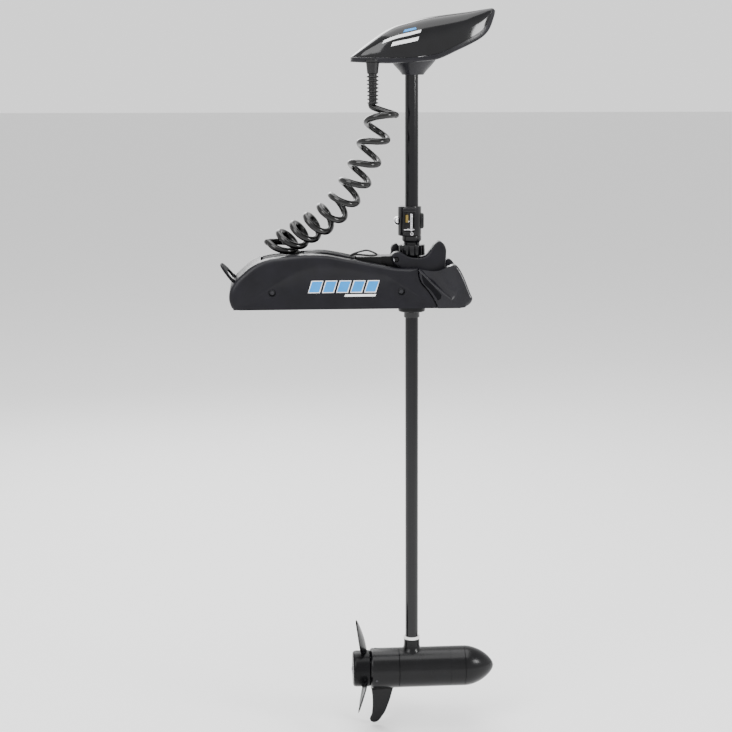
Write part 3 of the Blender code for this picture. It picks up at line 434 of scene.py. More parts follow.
def rod(name, start, end, radius, sides=48):
    """A plain cylinder between two points."""
    a, b = Vector(start), Vector(end)
    bm = bmesh.new()
    turn = (b - a).to_track_quat("Z", "Y").to_matrix().to_4x4()
    bmesh.ops.create_cone(bm, cap_ends=True, segments=sides, radius1=radius, radius2=radius,
                          depth=(b - a).length, matrix=Matrix.Translation((a + b) / 2) @ turn)
    return from_bmesh(name, bm)


def boolean(obj, operation, tools, sharp=35):
    """Join the tools to a piece or cut them from it, and keep only the result."""
    for tool in tools:
        step = obj.modifiers.new("step", "BOOLEAN")
        step.operation = operation
        step.solver = "EXACT"
        step.object = tool
    bpy.context.view_layer.update()
    mesh = bpy.data.meshes.new_from_object(obj.evaluated_get(bpy.context.evaluated_depsgraph_get()))
    obj.modifiers.clear()
    obj.data = mesh
    mesh.shade_smooth()
    mesh.set_sharp_from_angle(angle=math.radians(sharp))
    for tool in tools:
        bpy.data.objects.remove(tool)
    return obj


def join(obj, *tools, sharp=35):
    return boolean(obj, "UNION", tools, sharp)


def cut(obj, *tools, sharp=35):
    return boolean(obj, "DIFFERENCE", tools, sharp)


def finish(obj, body, look, *stands_for, slot=None):
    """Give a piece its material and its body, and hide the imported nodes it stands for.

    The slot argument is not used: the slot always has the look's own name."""
    obj.data.materials.clear()
    obj.data.materials.append(look())
    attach(obj, body)
    if stands_for:
        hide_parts(*stands_for)
    return obj


# ---- camera, floor and light ----

CAMERA_BACK = 3.594
CAMERA_HEIGHT = 0.4973
CAMERA_ASIDE = math.radians(5)
CAMERA_DOWN = math.radians(10)
LENS = 81.64
SHIFT = -0.0624
FLOOR_SIZE = 60
FLOOR_DROP = 4 * MM
HORIZON = 1.35
DOME = 0.95
LAMPS = (("key", (-2.4, -2.4, 2.4), (0.1, 0, 0.1), 1.9, 100), ("side", (2.6, -1.6, 0.9), (0.1, 0, 0), 0.6, 46),
         ("top", (0.1, 0.2, 4.2), (0.1, 0, 0), 4.0, 260), ("back", (-0.6, 2.8, 1.6), (0.1, 0, 0), 1.6, 60))


def camera():
    """A camera 3.6 m away and 10 degrees above, with the object right of its axis as it was framed."""
    data = bpy.data.cameras.new("camera")
    data.sensor_width = 36
    data.lens = LENS
    data.shift_x = SHIFT
    data.clip_end = 200
    eye = linked("camera", data)
    eye.location = (S.x - CAMERA_BACK * math.sin(CAMERA_ASIDE), -CAMERA_BACK * math.cos(CAMERA_ASIDE),
                    CAMERA_HEIGHT)
    eye.rotation_euler = (math.pi / 2 - CAMERA_DOWN, 0, -CAMERA_ASIDE)
    bpy.context.scene.camera = eye


def floor():
    bm = bmesh.new()
    bmesh.ops.create_grid(bm, x_segments=1, y_segments=1, size=FLOOR_SIZE)
    plane = from_bmesh("floor", bm)
    plane.location.z = cad_box[0][2] - FLOOR_DROP
    pale = bpy.data.materials.new("floor")
    pale.use_nodes = True
    shader = pale.node_tree.nodes["Principled BSDF"]
    shader.inputs["Base Color"].default_value = (0.93, 0.93, 0.93, 1)
    shader.inputs["Roughness"].default_value = 0.75
    plane.data.materials.append(pale)


def studio():
    """White light from all round, brightest at the horizon, and four soft lamps."""
    world = bpy.data.worlds.new("studio")
    bpy.context.scene.world = world
    world.use_nodes = True
    tree = world.node_tree
    place = tree.nodes.new("ShaderNodeTexCoord")
    height = tree.nodes.new("ShaderNodeSeparateXYZ")
    tree.links.new(place.outputs["Generated"], height.inputs["Vector"])
    fall = add(tree, "MapRange", {"From Min": 0.22, "From Max": 0.75, "To Min": HORIZON, "To Max": DOME})
    fall.interpolation_type = "SMOOTHSTEP"
    tree.links.new(height.outputs["Z"], fall.inputs["Value"])
    tree.links.new(fall.outputs["Result"], tree.nodes["Background"].inputs["Strength"])
    tree.nodes["Background"].inputs["Color"].default_value = (1, 1, 1, 1)
    for name, place, aim, size, power in LAMPS:
        light = bpy.data.lights.new(name, "AREA")
        light.shape = "RECTANGLE"
        light.size = size
        light.size_y = size * 1.4
        light.energy = power
        lamp = linked(name, light)
        lamp.location = place
        lamp.rotation_euler = (Vector(aim) - Vector(place)).to_track_quat("-Z", "Y").to_euler()


# ---- cords ----

def through(points, count):
    """Evenly numbered points on a smooth curve through the given ones."""
    points = [Vector(p) for p in points]
    line = []
    for n in range(count):
        t = n * (len(points) - 1) / (count - 1)
        i = min(int(t), len(points) - 2)
        f = t - i
        a, b = points[max(i - 1, 0)], points[i]
        c, d = points[i + 1], points[min(i + 2, len(points) - 1)]
        line.append(0.5 * (2 * b + (c - a) * f + (2 * a - 5 * b + 4 * c - d) * f * f
                           + (3 * b - a - 3 * c + d) * f ** 3))
    return line


def even(line, gap):
    """The same line with points about one gap apart."""
    length = [0]
    for a, b in zip(line, line[1:]):
        length.append(length[-1] + (b - a).length)
    count = max(int(length[-1] / gap), 2)
    out, k = [], 0
    for n in range(count + 1):
        want = length[-1] * n / count
        while k < len(line) - 2 and length[k + 1] < want:
            k += 1
        share = (want - length[k]) / max(length[k + 1] - length[k], 1e-9)
        out.append(line[k].lerp(line[k + 1], share))
    return out


def tube(name, path, radius, sides=16):
    """A round tube that follows a path without twisting."""
    rings = []
    ahead = (path[1] - path[0]).normalized()
    side = ahead.orthogonal().normalized()
    for i, point in enumerate(path):
        way = (path[min(i + 1, len(path) - 1)] - path[max(i - 1, 0)]).normalized()
        side = (side - way * side.dot(way)).normalized()
        up = way.cross(side)
        turns = [math.tau * k / sides for k in range(sides)]
        rings.append([point + radius * (math.cos(a) * side + math.sin(a) * up) for a in turns])
    return rings_mesh(name, rings, sharp=60)


CORD_R = 7 * MM
COIL_R = 26.5 * MM
COIL_LEAN = math.radians(28)
COIL_YAW = math.radians(24)
COIL_STEPS = 24
COIL_GLANCE = 6
COIL_TOP = NECK_Z / MM - 76
COIL_FOOT = 132
COIL_ROUTE = [(x, y, COIL_FOOT + share * (COIL_TOP - COIL_FOOT)) for x, y, share in (
    (-66.5, -47, 1), (-74, -50, 0.9), (-90, -52, 0.741), (-110, -52, 0.584), (-130.5, -50, 0.451),
    (-154.5, -45, 0.332), (-180.5, -37, 0.238), (-209, -28, 0.166), (-236.5, -18, 0.105), (-263.5, -8, 0.049),
    (-284, 0, 0))]
SOCKET = (-255, 18)
TAIL_ROUTE = [(SOCKET[0] + x, SOCKET[1] + y, z) for x, y, z in (
    (-40, 8, 136), (-32, 11, 139.5), (-20, 11, 140), (-8, 7, 136), (-0.7, 1.5, 130), (0, 0, 125),
    (0, 0, 121.7))]
LOOP_ROUTE = [(-134, -28, 110.4), (-131.5, -29.5, 114), (-118, -34, 119.5), (-100, -36, 123.3), (-84, -36, 118),
              (-78, -35, 113.8), (-86, -33, 111.6), (-100, -29, 111.9), (-118, -24, 113.5), (-128, -22, 113),
              (-130, -22, 109.6)]


RELIEF_SHARE = 0.36
SLEEVE_SHARE = 0.56
ROPE_R = 2 * MM


def from_shaft(route):
    return [S + Vector(p) * MM for p in route]


def curly_path():
    """The power cord from relief to socket, once round the coil for each point of its route."""
    route = from_shaft(COIL_ROUTE)
    axis = through(route, (len(route) - 1) * COIL_STEPS + 1)
    coil = []
    for n in range(len(axis)):
        place = n / COIL_STEPS
        turn = 0.5 + place / 2 if place < 1 else place
        way = (axis[min(n + COIL_GLANCE, len(axis) - 1)] - axis[max(n - COIL_GLANCE, 0)]).normalized()
        lean = COIL_LEAN * max((place - 6) / 4, 0) ** 1.5
        yaw = math.atan2(way.y, -way.x) + COIL_YAW * max((place - 3) / 7, 0)
        flat = Vector((-math.cos(yaw), math.sin(yaw), 0))
        steep = min(math.atan2(-way.z, math.hypot(way.x, way.y)) + lean, math.radians(88))
        way = flat * math.cos(steep) - Vector((0, 0, math.sin(steep)))
        right = Vector((1, 0, 0))
        right = (right - way * right.dot(way)).normalized()
        front = way.cross(right)
        if front.y > 0:
            front = -front
        angle = math.tau * (turn - 0.5)
        coil.append(axis[n] + COIL_R * (math.cos(angle) * right + math.sin(angle) * front))
    top = Vector((GLAND.x, GLAND.y, RELIEF_LOW))
    start = [top + Vector((0, 0, d * MM)) for d in (3, -1, -6)]
    tail = from_shaft(TAIL_ROUTE)
    return even(round_off(start + coil[1:] + tail[3:]), 3 * MM)


def round_off(points):
    """A smooth line through points at uneven distances."""
    gap = 7 * MM
    kept = [points[0]]
    for point in points[1:-1]:
        if (point - kept[-1]).length > gap and (point - points[-1]).length > gap:
            kept.append(point)
    kept.append(points[-1])
    return through(kept, len(kept) * 10)


def power_cord():
    """Three runs of one cord, each a tube of its own; the bodies above and below each run are listed but not
    used.
    """
    path = curly_path()
    first = int(len(path) * RELIEF_SHARE)
    second = int(len(path) * SLEEVE_SHARE)
    runs = ((path[:first + 1], "shaft_assembly", "drive_head", "cord_upper"),
            (path[first:second + 1], "drive_head", "steering_unit", "cord_middle"),
            (path[second:], "steering_unit", "mount_base", "cord_lower"))
    for run, upper, lower, name in runs:
        obj = tube(name, run, CORD_R)
        obj.data.materials.append(cord_black())
        if name == "cord_lower":
            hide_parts("curly_cord", "cord_tail")
        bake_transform(obj)


def pull_rope():
    rope = even(through(from_shaft(LOOP_ROUTE), 200), 1.5 * MM)
    loop = tube("pull_rope", rope, ROPE_R, 12)
    loop.data.materials.append(rope_black())
    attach(loop, "mount_base")
    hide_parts("pull_loop")


# ---- the deck mount ----

def scaled(points):
    return [(a * MM, b * MM) for a, b in points]


def cover_line():
    """A side cover seen from the side, as it is packed, with finer rounds."""
    left = BASE_LEFT / MM
    return outline([
        (50, 1.5), (46, 12, 1), (30, 38, 1), (12.6, 60.3, 1), (7.7, 86.5), (-35, 87, 1), (-85, 96, 1),
        (-142, 107, 1), (-200, 116.5, 1), (left + 119, 112.5, 1), (left + 66, 102.5, 1), (left + 28, 77, 1),
        (left + 8.5, 55, 1), (left + 0.5, 36, 1), (left + 4, 8, 1), (left + 9, 1.5)])


def weighted(name, line, sections, weight, sharp=35):
    """A slab along Y whose outline shrinks by each section's amount times the point's own weight."""
    rings = []
    for place, amount in sections:
        inner = shrunk(line, amount)
        rings.append([(S.x + x + (u - x) * weight(x, z), place, z + (w - z) * weight(x, z))
                      for (x, z), (u, w) in zip(line, inner)])
    return rings_mesh(name, rings, sharp=sharp)


def edge_sections(side, inner, outer, reach, depth, steps=7):
    """Sections from an inner plane to an outer face whose edge is an elliptic round."""
    rows = [(side * inner, 0), (side * (outer - depth), 0)]
    for i in range(1, steps + 1):
        a = math.pi / 2 * i / steps
        rows.append((side * (outer - depth * (1 - math.sin(a))), reach * (1 - math.cos(a))))
    return rows


def cover_weight(x, z):
    """How much of a cover's edge is rounded: all of it on top, little at the seam, none along the bottom."""
    if z < 3 * MM:
        return 0
    if x > 5 * MM:
        return 0.12
    return min(1, 0.12 + (5 * MM - x) / (25 * MM)) * min(1, 0.25 + z / (30 * MM))


def side_cover(side):
    """One half of the deck mount, with its sunk panel and its two bolts."""
    shell = weighted(f"side_shell_{word(side)}", cover_line(),
                     edge_sections(side, SEAM_GAP, BASE_HALF, 13 * MM, 10 * MM), cover_weight)
    fork = FORK_HALF + MM
    pedal = sorted((side * 38 * MM, side * 54 * MM))
    tools = [box_mesh("gap", (S.x + BASE_LEFT + 68 * MM, -SPINE_GAP, -1), (1, SPINE_GAP, 1)),
             box_mesh("gap", (S.x - 60 * MM, -fork, -1), (1, fork, 1)),
             box_mesh("gap", (S.x + BASE_LEFT + 25 * MM, -RAIL_GAP, -1), (1, RAIL_GAP, 47 * MM)),
             box_mesh("gap", (S.x + BASE_LEFT - 10 * MM, pedal[0], 42 * MM),
                      (S.x + BASE_LEFT + 20 * MM, pedal[1], 68 * MM))]
    panel = outline([(-296, 44, 1), (-262, 72, 1), (-205, 88, 1), (-140, 84, 1), (-80, 70, 1),
                                (-44, 62, 1), (-52, 38, 1), (-60, 20, 1), (-160, 15, 1), (-262, 22, 1)])
    face = side * BASE_HALF
    tools.append(slab("panel", panel, [(face - side * PANEL_DEPTH, 4 * MM), (face + side * 0.2 * MM, 0),
                                       (face + side * 3 * MM, 0)]))
    for x in BOLTS:
        tools.append(rod("recess", (S.x + x, face - side * 8 * MM, BOLT_Z),
                         (S.x + x, face + side * MM, BOLT_Z), BOLT_RECESS_R))
    cut(shell, *tools, sharp=28)
    finish(shell, "mount_base", cover_black, f"side_cover_{word(side)}")
    cup = [(0, 2.9), (2.6, 2.9), (2.9, 3.4), *arc((3.9, 2.6), 0.8, 90, 0, 3), (4.7, 1), (6.6, 0.6), (6.6, 0),
           (0, 0)]
    for number, x in enumerate(BOLTS):
        bolt = lathe(f"bolt_{number + 1}_{word(side)}", [(r * MM, side * h * MM) for r, h in cup],
                     (S.x + x, face - side * 7.6 * MM, BOLT_Z), "Y", 36)
        finish(bolt, "mount_base", dark_steel, f"cover_bolt_{number + 1}_{word(side)}", slot="steel")


def ramp_weight(x, z):
    if z < 3 * MM:
        return 0
    return 0.15 if x < 12 * MM or (z < 75 * MM and x < 55 * MM) else 1


def scoop(side):
    """The bowl in a ramp's outer face: a crease on its left, deepest at the top, fading out at its foot."""
    rings = []
    for n in range(17):
        z = (18 + 84 * n / 16) * MM
        rise = (z - 18 * MM) / (84 * MM)
        left = 79 * MM - rise * 84 * MM * 1.04
        right = (79 + 14 * min(rise / 0.22, 1) ** 0.6 - 6 * max(rise - 0.3, 0)) * MM
        depth = 0.4 * MM + 19 * MM * rise ** 0.85
        ring = []
        for k in range(25):
            u = k / 24
            ring.append((S.x + left + (right - left) * u,
                         side * (RAMP_HALF + 0.1 * MM - depth * math.sin(math.pi * u ** 0.62)), z))
        ring += [(S.x + right, side * (RAMP_HALF + 30 * MM), z), (S.x + left, side * (RAMP_HALF + 30 * MM), z)]
        rings.append(ring)
    return rings_mesh("scoop", rings)


def ramp(side):
    """One of the two arms beside the tilting unit, with its scoop, its grip band and the scoop's ridge."""
    end = BASE_RIGHT / MM
    line = outline([
        (8.4, 86.5), (13.4, 60.5, 1), (30.8, 38.4, 1), (46.8, 12.2, 1), (50.8, 0.8), (97, 0.8), (114, 5, 1),
        (end, 19, 1), (end - 4, 31, 1), (94, 89, 1), (87, 94, 1), (76, 90.5, 1), (50, 80, 1), (26, 81.5, 1)])
    shell = weighted(f"ramp_shell_{word(side)}", line,
                     edge_sections(side, FORK_HALF, RAMP_HALF, 7 * MM, 6 * MM), ramp_weight)
    rail = box_mesh("gap", (S.x - 0.2, -RAIL_GAP, -1), (S.x + 100.5 * MM, RAIL_GAP, 46.5 * MM))
    cut(shell, scoop(side), rail, sharp=32)
    finish(shell, "mount_base", ramp_black, f"ramp_{word(side)}", slot="cover_black")
    band = outline([(14.5, 76), (29, 61, 1), (44, 45, 1), (58, 30), (56, 22, 1), (50, 18), (42, 30, 1),
                               (33, 42, 1), (20, 55, 1)], 4)
    face = side * RAMP_HALF
    grip = slab(f"ramp_grip_{word(side)}", band,
                [(face - side * 0.5 * MM, 0), (face + side * 0.1 * MM, 0), (face + side * 0.35 * MM, 0.4 * MM)])
    finish(grip, "mount_base", textured_black, slot="cover_black")
    crease = []
    for k in range(13):
        t = k / 12
        crease.append(Vector((S.x + (9 + 69.5 * t) * MM, face - side * (1.1 + 0.9 * t ** 2) * MM,
                              (84.5 - 63.5 * t - 3 * math.sin(math.pi * t)) * MM)))
    ridge = tube(f"ramp_ridge_{word(side)}", crease, 2.4 * MM, 20)
    finish(ridge, "mount_base", ramp_black, slot="cover_black")


def spine(name, node, points):
    """A centre cover with a crowned top and rounded long edges."""
    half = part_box(node)[1].y
    rows = []
    for i in range(25):
        y = half * math.sin(math.pi / 2 * (i / 12 - 1))
        edge = max(abs(y) - (half - SPINE_ROUND), 0)
        drop = SPINE_ROUND - math.sqrt(max(SPINE_ROUND ** 2 - edge ** 2, 0))
        rows.append((y, SPINE_CROWN * (y / half) ** 2 + drop))
    return weighted(name, outline(points), rows, lambda x, z: 1 if z > 90 * MM else 0)


def spine_covers():
    left = BASE_LEFT / MM + 69
    rear = spine("spine_rear", "spine_cover_rear",
                 [(left, 72), (-235, 72), (-235, 113.5), (-262, 112.5, 1), (left + 26, 109.5, 1),
                  (left + 6, 105, 1), (left, 98)])
    finish(rear, "mount_base", textured_black, "spine_cover_rear", slot="cover_black")
    front = spine("spine_front", "spine_cover_front",
                  [(-233.4, 72), (-124, 72), (-124, 107), (-160, 115, 1), (-197, 120, 1), (-233.4, 115.5)])
    finish(front, "mount_base", textured_black, "spine_cover_front", slot="cover_black")


def prints():
    """Plain bars in place of the printed name: five cyan blocks with white edges and a small white bar."""
    y = BASE_HALF - PANEL_DEPTH
    for side in (-1, 1):
        for i in range(5):
            x = -226 + 30 * i
            for grow, look, lift, label in ((1.6, white, 0.18, "edge"), (0, cyan, 0.32, "bar")):
                line = scaled([(x - grow, 38 - grow), (x + 22 + grow, 38 - grow),
                               (x + 30 + grow * 0.9, 61 + grow), (x + 8 - grow, 61 + grow)])
                bar = slab(f"print_{label}_{i + 1}_{word(side)}", line,
                           [(side * (y - 0.3 * MM), 0), (side * (y + lift * MM), 0)])
                finish(bar, "mount_base", look, slot="seal_white")
        small = slab(f"print_small_{word(side)}", scaled([(-150, 28), (-84, 28), (-82, 33), (-148, 33)]),
                     [(side * (y - 0.3 * MM), 0), (side * (y + 0.2 * MM), 0)])
        finish(small, "mount_base", white, slot="seal_white")


def pedal():
    """The release pedal: a rounded plate with a slot and grip ribs, on its two arms."""
    pivot = Vector((S.x + BASE_LEFT + 23 * MM, 0, 44 * MM))
    plan = [(64, 0, 1), (60, 28, 1), (44, 50, 1), (22, 60), (22, -60), (44, -50, 1), (60, -28, 1)]
    slot = [(26, 36, 1), (32.5, 41, 1), (39, 36, 1), (39, -36, 1), (32.5, -41, 1), (26, -36, 1)]
    plate = slab("pedal_plate", [(x - S.x, y) for x, y in outline(plan)],
                 rounded(-2.5 * MM, 2.5 * MM, 1.8 * MM), "XY")
    hole = slab("slot", [(x - S.x, y) for x, y in outline(slot)], [(-0.02, 0), (0.02, 0)], "XY")
    parts = []
    for side in (-1, 1):
        inner, outer = sorted((side * 40 * MM, side * 52 * MM))
        parts.append(box_mesh("arm", (0, inner, -4 * MM), (26 * MM, outer, 1.6 * MM), MM))
        parts.append(rod("eye", (0, inner, 0), (0, outer, 0), 7.5 * MM))
    for i in range(4):
        parts.append(box_mesh("rib", ((43.5 + 4 * i) * MM, (-38 + 4.5 * i) * MM, 2 * MM),
                              ((45.2 + 4 * i) * MM, (38 - 4.5 * i) * MM, 3.1 * MM), 0.4 * MM))
    cut(plate, hole)
    join(plate, *parts)
    plate.data.transform(Matrix.Translation(pivot) @ Matrix.Rotation(-PEDAL_LEAN, 4, "Y"))
    finish(plate, "pedal", textured_black, "release_pedal", slot="cast_black")


# ---- the steering unit ----

def housing():
    """The tilting housing: both walls with round edges, the case between them and the dish round the ring."""
    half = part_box("steering_housing")[1].y
    near = outline([
        (-46, 113.5, 1), (-45, 104, 1), (-40.5, 92, 1), (-31, 87.5), (-20, 60), (68.8, 60), (68.8, 90),
        (71, 114, 1), (70, 128, 1), (64, 138, 1), (55.5, 142, 1), (47, 137, 1), (38.5, 124.5, 1),
        (30.5, 113, 1), (17, 106.5, 1), (3, 106.5, 1), (-10, 109, 1), (-20, 114.5, 1), (-33, 119.8, 1)])
    far = outline([
        (-42, 124, 1), (-43, 112, 1), (-45, 102, 1), (-38, 90, 1), (-28, 86), (-20, 60), (68.8, 60),
        (68.8, 104, 1), (60, 120, 1), (46, 118, 1), (32, 106, 1), (10, 102, 1), (-16, 104, 1), (-25, 116, 1),
        (-28, 129, 1), (-34, 131.5, 1)])
    shell = slab("steering_case", near, rounded(-half, -18 * MM, 3.5 * MM))
    other = slab("wall", far, rounded(20.5 * MM, half, 3 * MM))
    core = box_mesh("core", (S.x - 23 * MM, -half + 0.3 * MM, 1.5 * MM),
                    (S.x + 69 * MM, half - 0.3 * MM, 100 * MM), 3 * MM)
    join(shell, other, core)
    dish = rod("dish", (S.x, 0, 99.5 * MM), (S.x, 0, 0.3), DISH_R, 96)
    tongue = box_mesh("gap", (S.x - 0.1, -20.5 * MM, -0.1), (S.x - 24.5 * MM, 20.5 * MM, 0.2))
    bore = rod("bore", (S.x, 0, -0.1), (S.x, 0, 0.12), FLANGE_BORE)
    cut(shell, dish, tongue, bore)
    finish(shell, "steering_unit", cover_black, "steering_housing")
    low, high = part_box("bearing_flange")
    r = high.x - S.x
    profile = [(FLANGE_BORE, high.z), (r, high.z), (r, low.z + 5 * MM),
               *arc((r - 3 * MM, low.z + 3 * MM), 3 * MM, 0, -90), (FLANGE_BORE, low.z)]
    finish(lathe("bearing_ring", profile, S), "steering_unit", cast_black, "bearing_flange")
    profile = [(0, 0.9 * MM), (1.7 * MM, 0.9 * MM), (1.9 * MM, 1.9 * MM),
               *arc((3.6 * MM, 1.2 * MM), 0.8 * MM, 90, 0, 3), (4.4 * MM, -0.6 * MM), (0, -0.6 * MM)]
    screw = lathe("case_screw_pin", profile, (S.x - 37 * MM, -half, 104 * MM), "Y", 32)
    screw.data.transform(Matrix.Translation((0, -2 * half, 0)) @ Matrix.Diagonal((1, -1, 1, 1)))
    screw.data.flip_normals()
    finish(screw, "steering_unit", cast_black)


def drive():
    """The sleeve round the shaft and the fluted ring that clamps it."""
    low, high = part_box("drive_sleeve")
    wide = high.x - S.x
    profile = [(SLEEVE_BORE, high.z), *arc((wide - MM, high.z - MM), MM, 90, 0, 3), (wide, 141 * MM),
               (SLEEVE_SLIM, 137 * MM), *arc((SLEEVE_SLIM - MM, low.z + MM), MM, 0, -90, 3),
               (SLEEVE_BORE, low.z)]
    sleeve = lathe("sleeve", profile, S)
    finish(sleeve, "drive_head", gloss_black, "drive_sleeve")
    low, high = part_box("steering_ring")
    r = high.x - S.x
    rim = []
    for i in range(RING_FLUTES):
        for k in range(16):
            share = k / 16
            depth = FLUTE_DEPTH * max(0, math.cos(math.tau * (share - 0.5))) ** 1.5
            angle = math.tau * (i + share) / RING_FLUTES + 0.25
            rim.append(((r - depth) * math.cos(angle), (r - depth) * math.sin(angle)))
    ring = slab("fluted_ring", rim, rounded(low.z, high.z, 1.6 * MM), "XY", sharp=50)
    finish(ring, "drive_head", gloss_black, "steering_ring")


# ---- the collar ----

def collar():
    low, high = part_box("depth_collar")
    r = high.y
    x = low.x + r
    profile = [(0, high.z), *arc((r - 2.2 * MM, high.z - 2.2 * MM), 2.2 * MM, 90, 0),
               *arc((r - 1.6 * MM, low.z + 1.6 * MM), 1.6 * MM, 0, -90), (0, low.z)]
    body = lathe("collar_body", profile, (x, 0, 0), sides=96)
    mid = (low.z + high.z) / 2
    bump = box_mesh("bump", (x + 12 * MM, -11 * MM, mid - 17 * MM), (high.x, 11 * MM, mid + 17 * MM), 4.5 * MM)
    brow = box_mesh("brow", (x - 15 * MM, -r - 1.4 * MM, high.z - 12 * MM),
                    (x + 10.5 * MM, -r + 8 * MM, high.z - 2.5 * MM), 2 * MM)
    sill = box_mesh("sill", (x - 15 * MM, -r - 1.4 * MM, low.z + 2 * MM),
                    (x + 10.5 * MM, -r + 8 * MM, low.z + 9 * MM), 2 * MM)
    join(body, bump, brow, sill)
    window = box_mesh("window", (x - 12 * MM, -40 * MM, low.z + 9 * MM),
                      (x + 8 * MM, -17.2 * MM, high.z - 13 * MM), 1.5 * MM)
    split = box_mesh("split", (x + 9 * MM, -0.6 * MM, -1), (x + 60 * MM, 0.6 * MM, 1))
    bore = rod("bore", (S.x, 0, low.z - 0.01), (S.x, 0, high.z + 0.01), SHAFT_BORE, 72)
    cut(body, window, split, bore)
    finish(body, "collar", gloss_black, "depth_collar")
    bar = box_mesh("cross_bar", (S.x - 14 * MM, -r + 1.5 * MM, mid - 2.2 * MM),
                   (S.x - 7.6 * MM, -r + 5 * MM, mid + 1.6 * MM), 0.8 * MM)
    finish(bar, "collar", chrome)
    profile = [(0, -MM), (1.6 * MM, -MM), (1.8 * MM, 0.4 * MM),
               *arc((3 * MM, -0.4 * MM), 0.8 * MM, 90, 0, 3), (3.8 * MM, -2.4 * MM), (0, -2.4 * MM)]
    screw = lathe("collar_screw", profile, sides=32)
    screw.data.transform(Matrix.Translation((S.x - 2 * MM, -r - 1.6 * MM, low.z + 5.4 * MM))
                         @ Matrix.Rotation(math.pi / 2, 4, "X"))
    finish(screw, "collar", chrome)
    low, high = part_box("cam_lever")
    lever = box_mesh("lever_bar", (low.x + LEVER_TRIM, low.y, low.z), (high.x - LEVER_TRIM, high.y, high.z),
                     1.6 * MM)
    groove = box_mesh("groove", (low.x + 3.6 * MM, low.y - MM, low.z + 9 * MM),
                      (high.x - 3.6 * MM, low.y + 1.2 * MM, high.z - 4 * MM), 0.4 * MM)
    cut(lever, groove)
    finish(lever, "lever", steel, "cam_lever", slot="chrome")
    low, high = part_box("clamp_knob")
    r = high.y
    profile = [(0, 10 * MM), *arc((0, 0.5 * MM), r, 86, 6, 10), (r, 0.4 * MM), (3 * MM, 0.3 * MM),
               (3 * MM, -13 * MM), (0, -13 * MM)]
    knob = lathe("knob_dome", profile, sides=48)
    knob.data.transform(Matrix.Translation((low.x + 10 * MM, 0, (low.z + high.z) / 2))
                        @ Matrix.Rotation(math.radians(-90), 4, "Y"))
    finish(knob, "knob", chrome, "clamp_knob")


# ---- the head ----

LINES = {}
CREST = ((-130.6, 37.6), (-125, 41.5), (-108, 55), (-88, 70), (-64, 87), (-37, 101.5), (-5, 111), (29, 119.6),
         (68, 125.5), (119, 132), (150, 137), (172.5, 140.3))
SEAM = ((-130.6, 37), (-45, 35.5), (0, 36.5), (50, 44), (91, 62), (121, 77), (143, 90), (157, 104), (166, 121),
        (172.5, 140))
RIM = ((-130.6, 27), (-45, 24), (30, 29), (56, 34), (95, 51.5), (127, 66.5), (150, 80), (165.3, 97), (176, 124),
       (178.6, 134))
WIDE = ((-130.6, 0.4), (-128.5, 12), (-122, 22), (-108, 33), (-85, 41), (-55, 50), (0, 57), (60, 54), (110, 42),
        (150, 25), (168, 13), (176, 6), (178.6, 0.4))


def level(points, x):
    """Height of a smooth line through points at x. Each line is worked out once."""
    if points not in LINES:
        LINES[points] = [(p.x, p.y) for p in through([(a, b, 0) for a, b in points], 240)]
    line = LINES[points]
    for (a, u), (b, v) in zip(line, line[1:]):
        if a <= x <= b:
            return u + (v - u) * (x - a) / max(b - a, 1e-9)
    return line[0][1] if x < line[0][0] else line[-1][1]


def head_point(x, turn, lift=0.0):
    """A point on the head's cover at x, turn going from 0 on the far seam to pi on the near one."""
    half = (level(WIDE, x) + lift) * MM
    low = level(SEAM, x) + 0.3
    rise = max(level(CREST, x) - low, 0.05) + lift
    c, s = math.cos(turn), math.sin(turn)
    return Vector((S.x + x * MM, half * math.copysign(abs(c) ** 0.62, c),
                   NECK_Z + (low + rise * s ** 0.80) * MM))


def stations(start, end, count):
    """Places from start to end that crowd towards both ends."""
    return [start + (end - start) * (1 - math.cos(math.pi * i / count)) / 2 for i in range(count + 1)]


def head():
    rings = [[head_point(x, math.pi * k / 40) for k in range(41)] for x in stations(-130.5, 172.3, 72)]
    shell = rings_mesh("head_shell", rings, sharp=50)
    finish(shell, "shaft_assembly", gloss_black, "head_cover")
    rings = []
    for x in stations(-130.5, 178.5, 72):
        half = level(WIDE, x)
        top = level(SEAM, x) - 0.3 if x < 172 else 139.7 - (x - 172) * 0.8
        low = min(level(RIM, x), top - 0.3)
        ring = []
        for share, drop in ((1, 0), (1.004, 0.15), (1, 0.55), (0.985, 0.85), (0.95, 0.97), (0.88, 1), (0.4, 1)):
            ring.append((half * share, top + (low - top) * drop))
        ring = ring + [(-y, z) for y, z in reversed(ring)]
        rings.append([(S.x + x * MM, y * MM, NECK_Z + z * MM) for y, z in ring])
    pan = rings_mesh("head_base", rings, sharp=40)
    profile = scaled([(0, 34), (50, 34), (47.5, 29), (39, 19), (29.5, 9), (25, 3.5), (24, 1.5), (22.4, 0),
                      (0, 0)])
    neck = lathe("neck", profile, (S.x + 2.5 * MM, 0, NECK_Z), "Z", 96, 25, 0.86)
    pocket = rod("pocket", (GLAND.x, GLAND.y, NECK_Z - 0.02), (GLAND.x, GLAND.y, NECK_Z + 31.9 * MM), 15.3 * MM)
    bore = rod("bore", (S.x, 0, NECK_Z - 0.01), (S.x, 0, NECK_Z + 25 * MM), SHAFT_BORE, 72)
    join(pan, neck)
    screws = []
    for side in (-1, 1):
        screws.append(rod("pocket", (S.x + 64 * MM, side * 38 * MM, NECK_Z),
                          (S.x + 64 * MM, side * 38 * MM, NECK_Z + 41.2 * MM), 4.4 * MM, 32))
    cut(pan, pocket, bore, *screws)
    finish(pan, "shaft_assembly", pan_grey, "head_pan")
    head_marks()


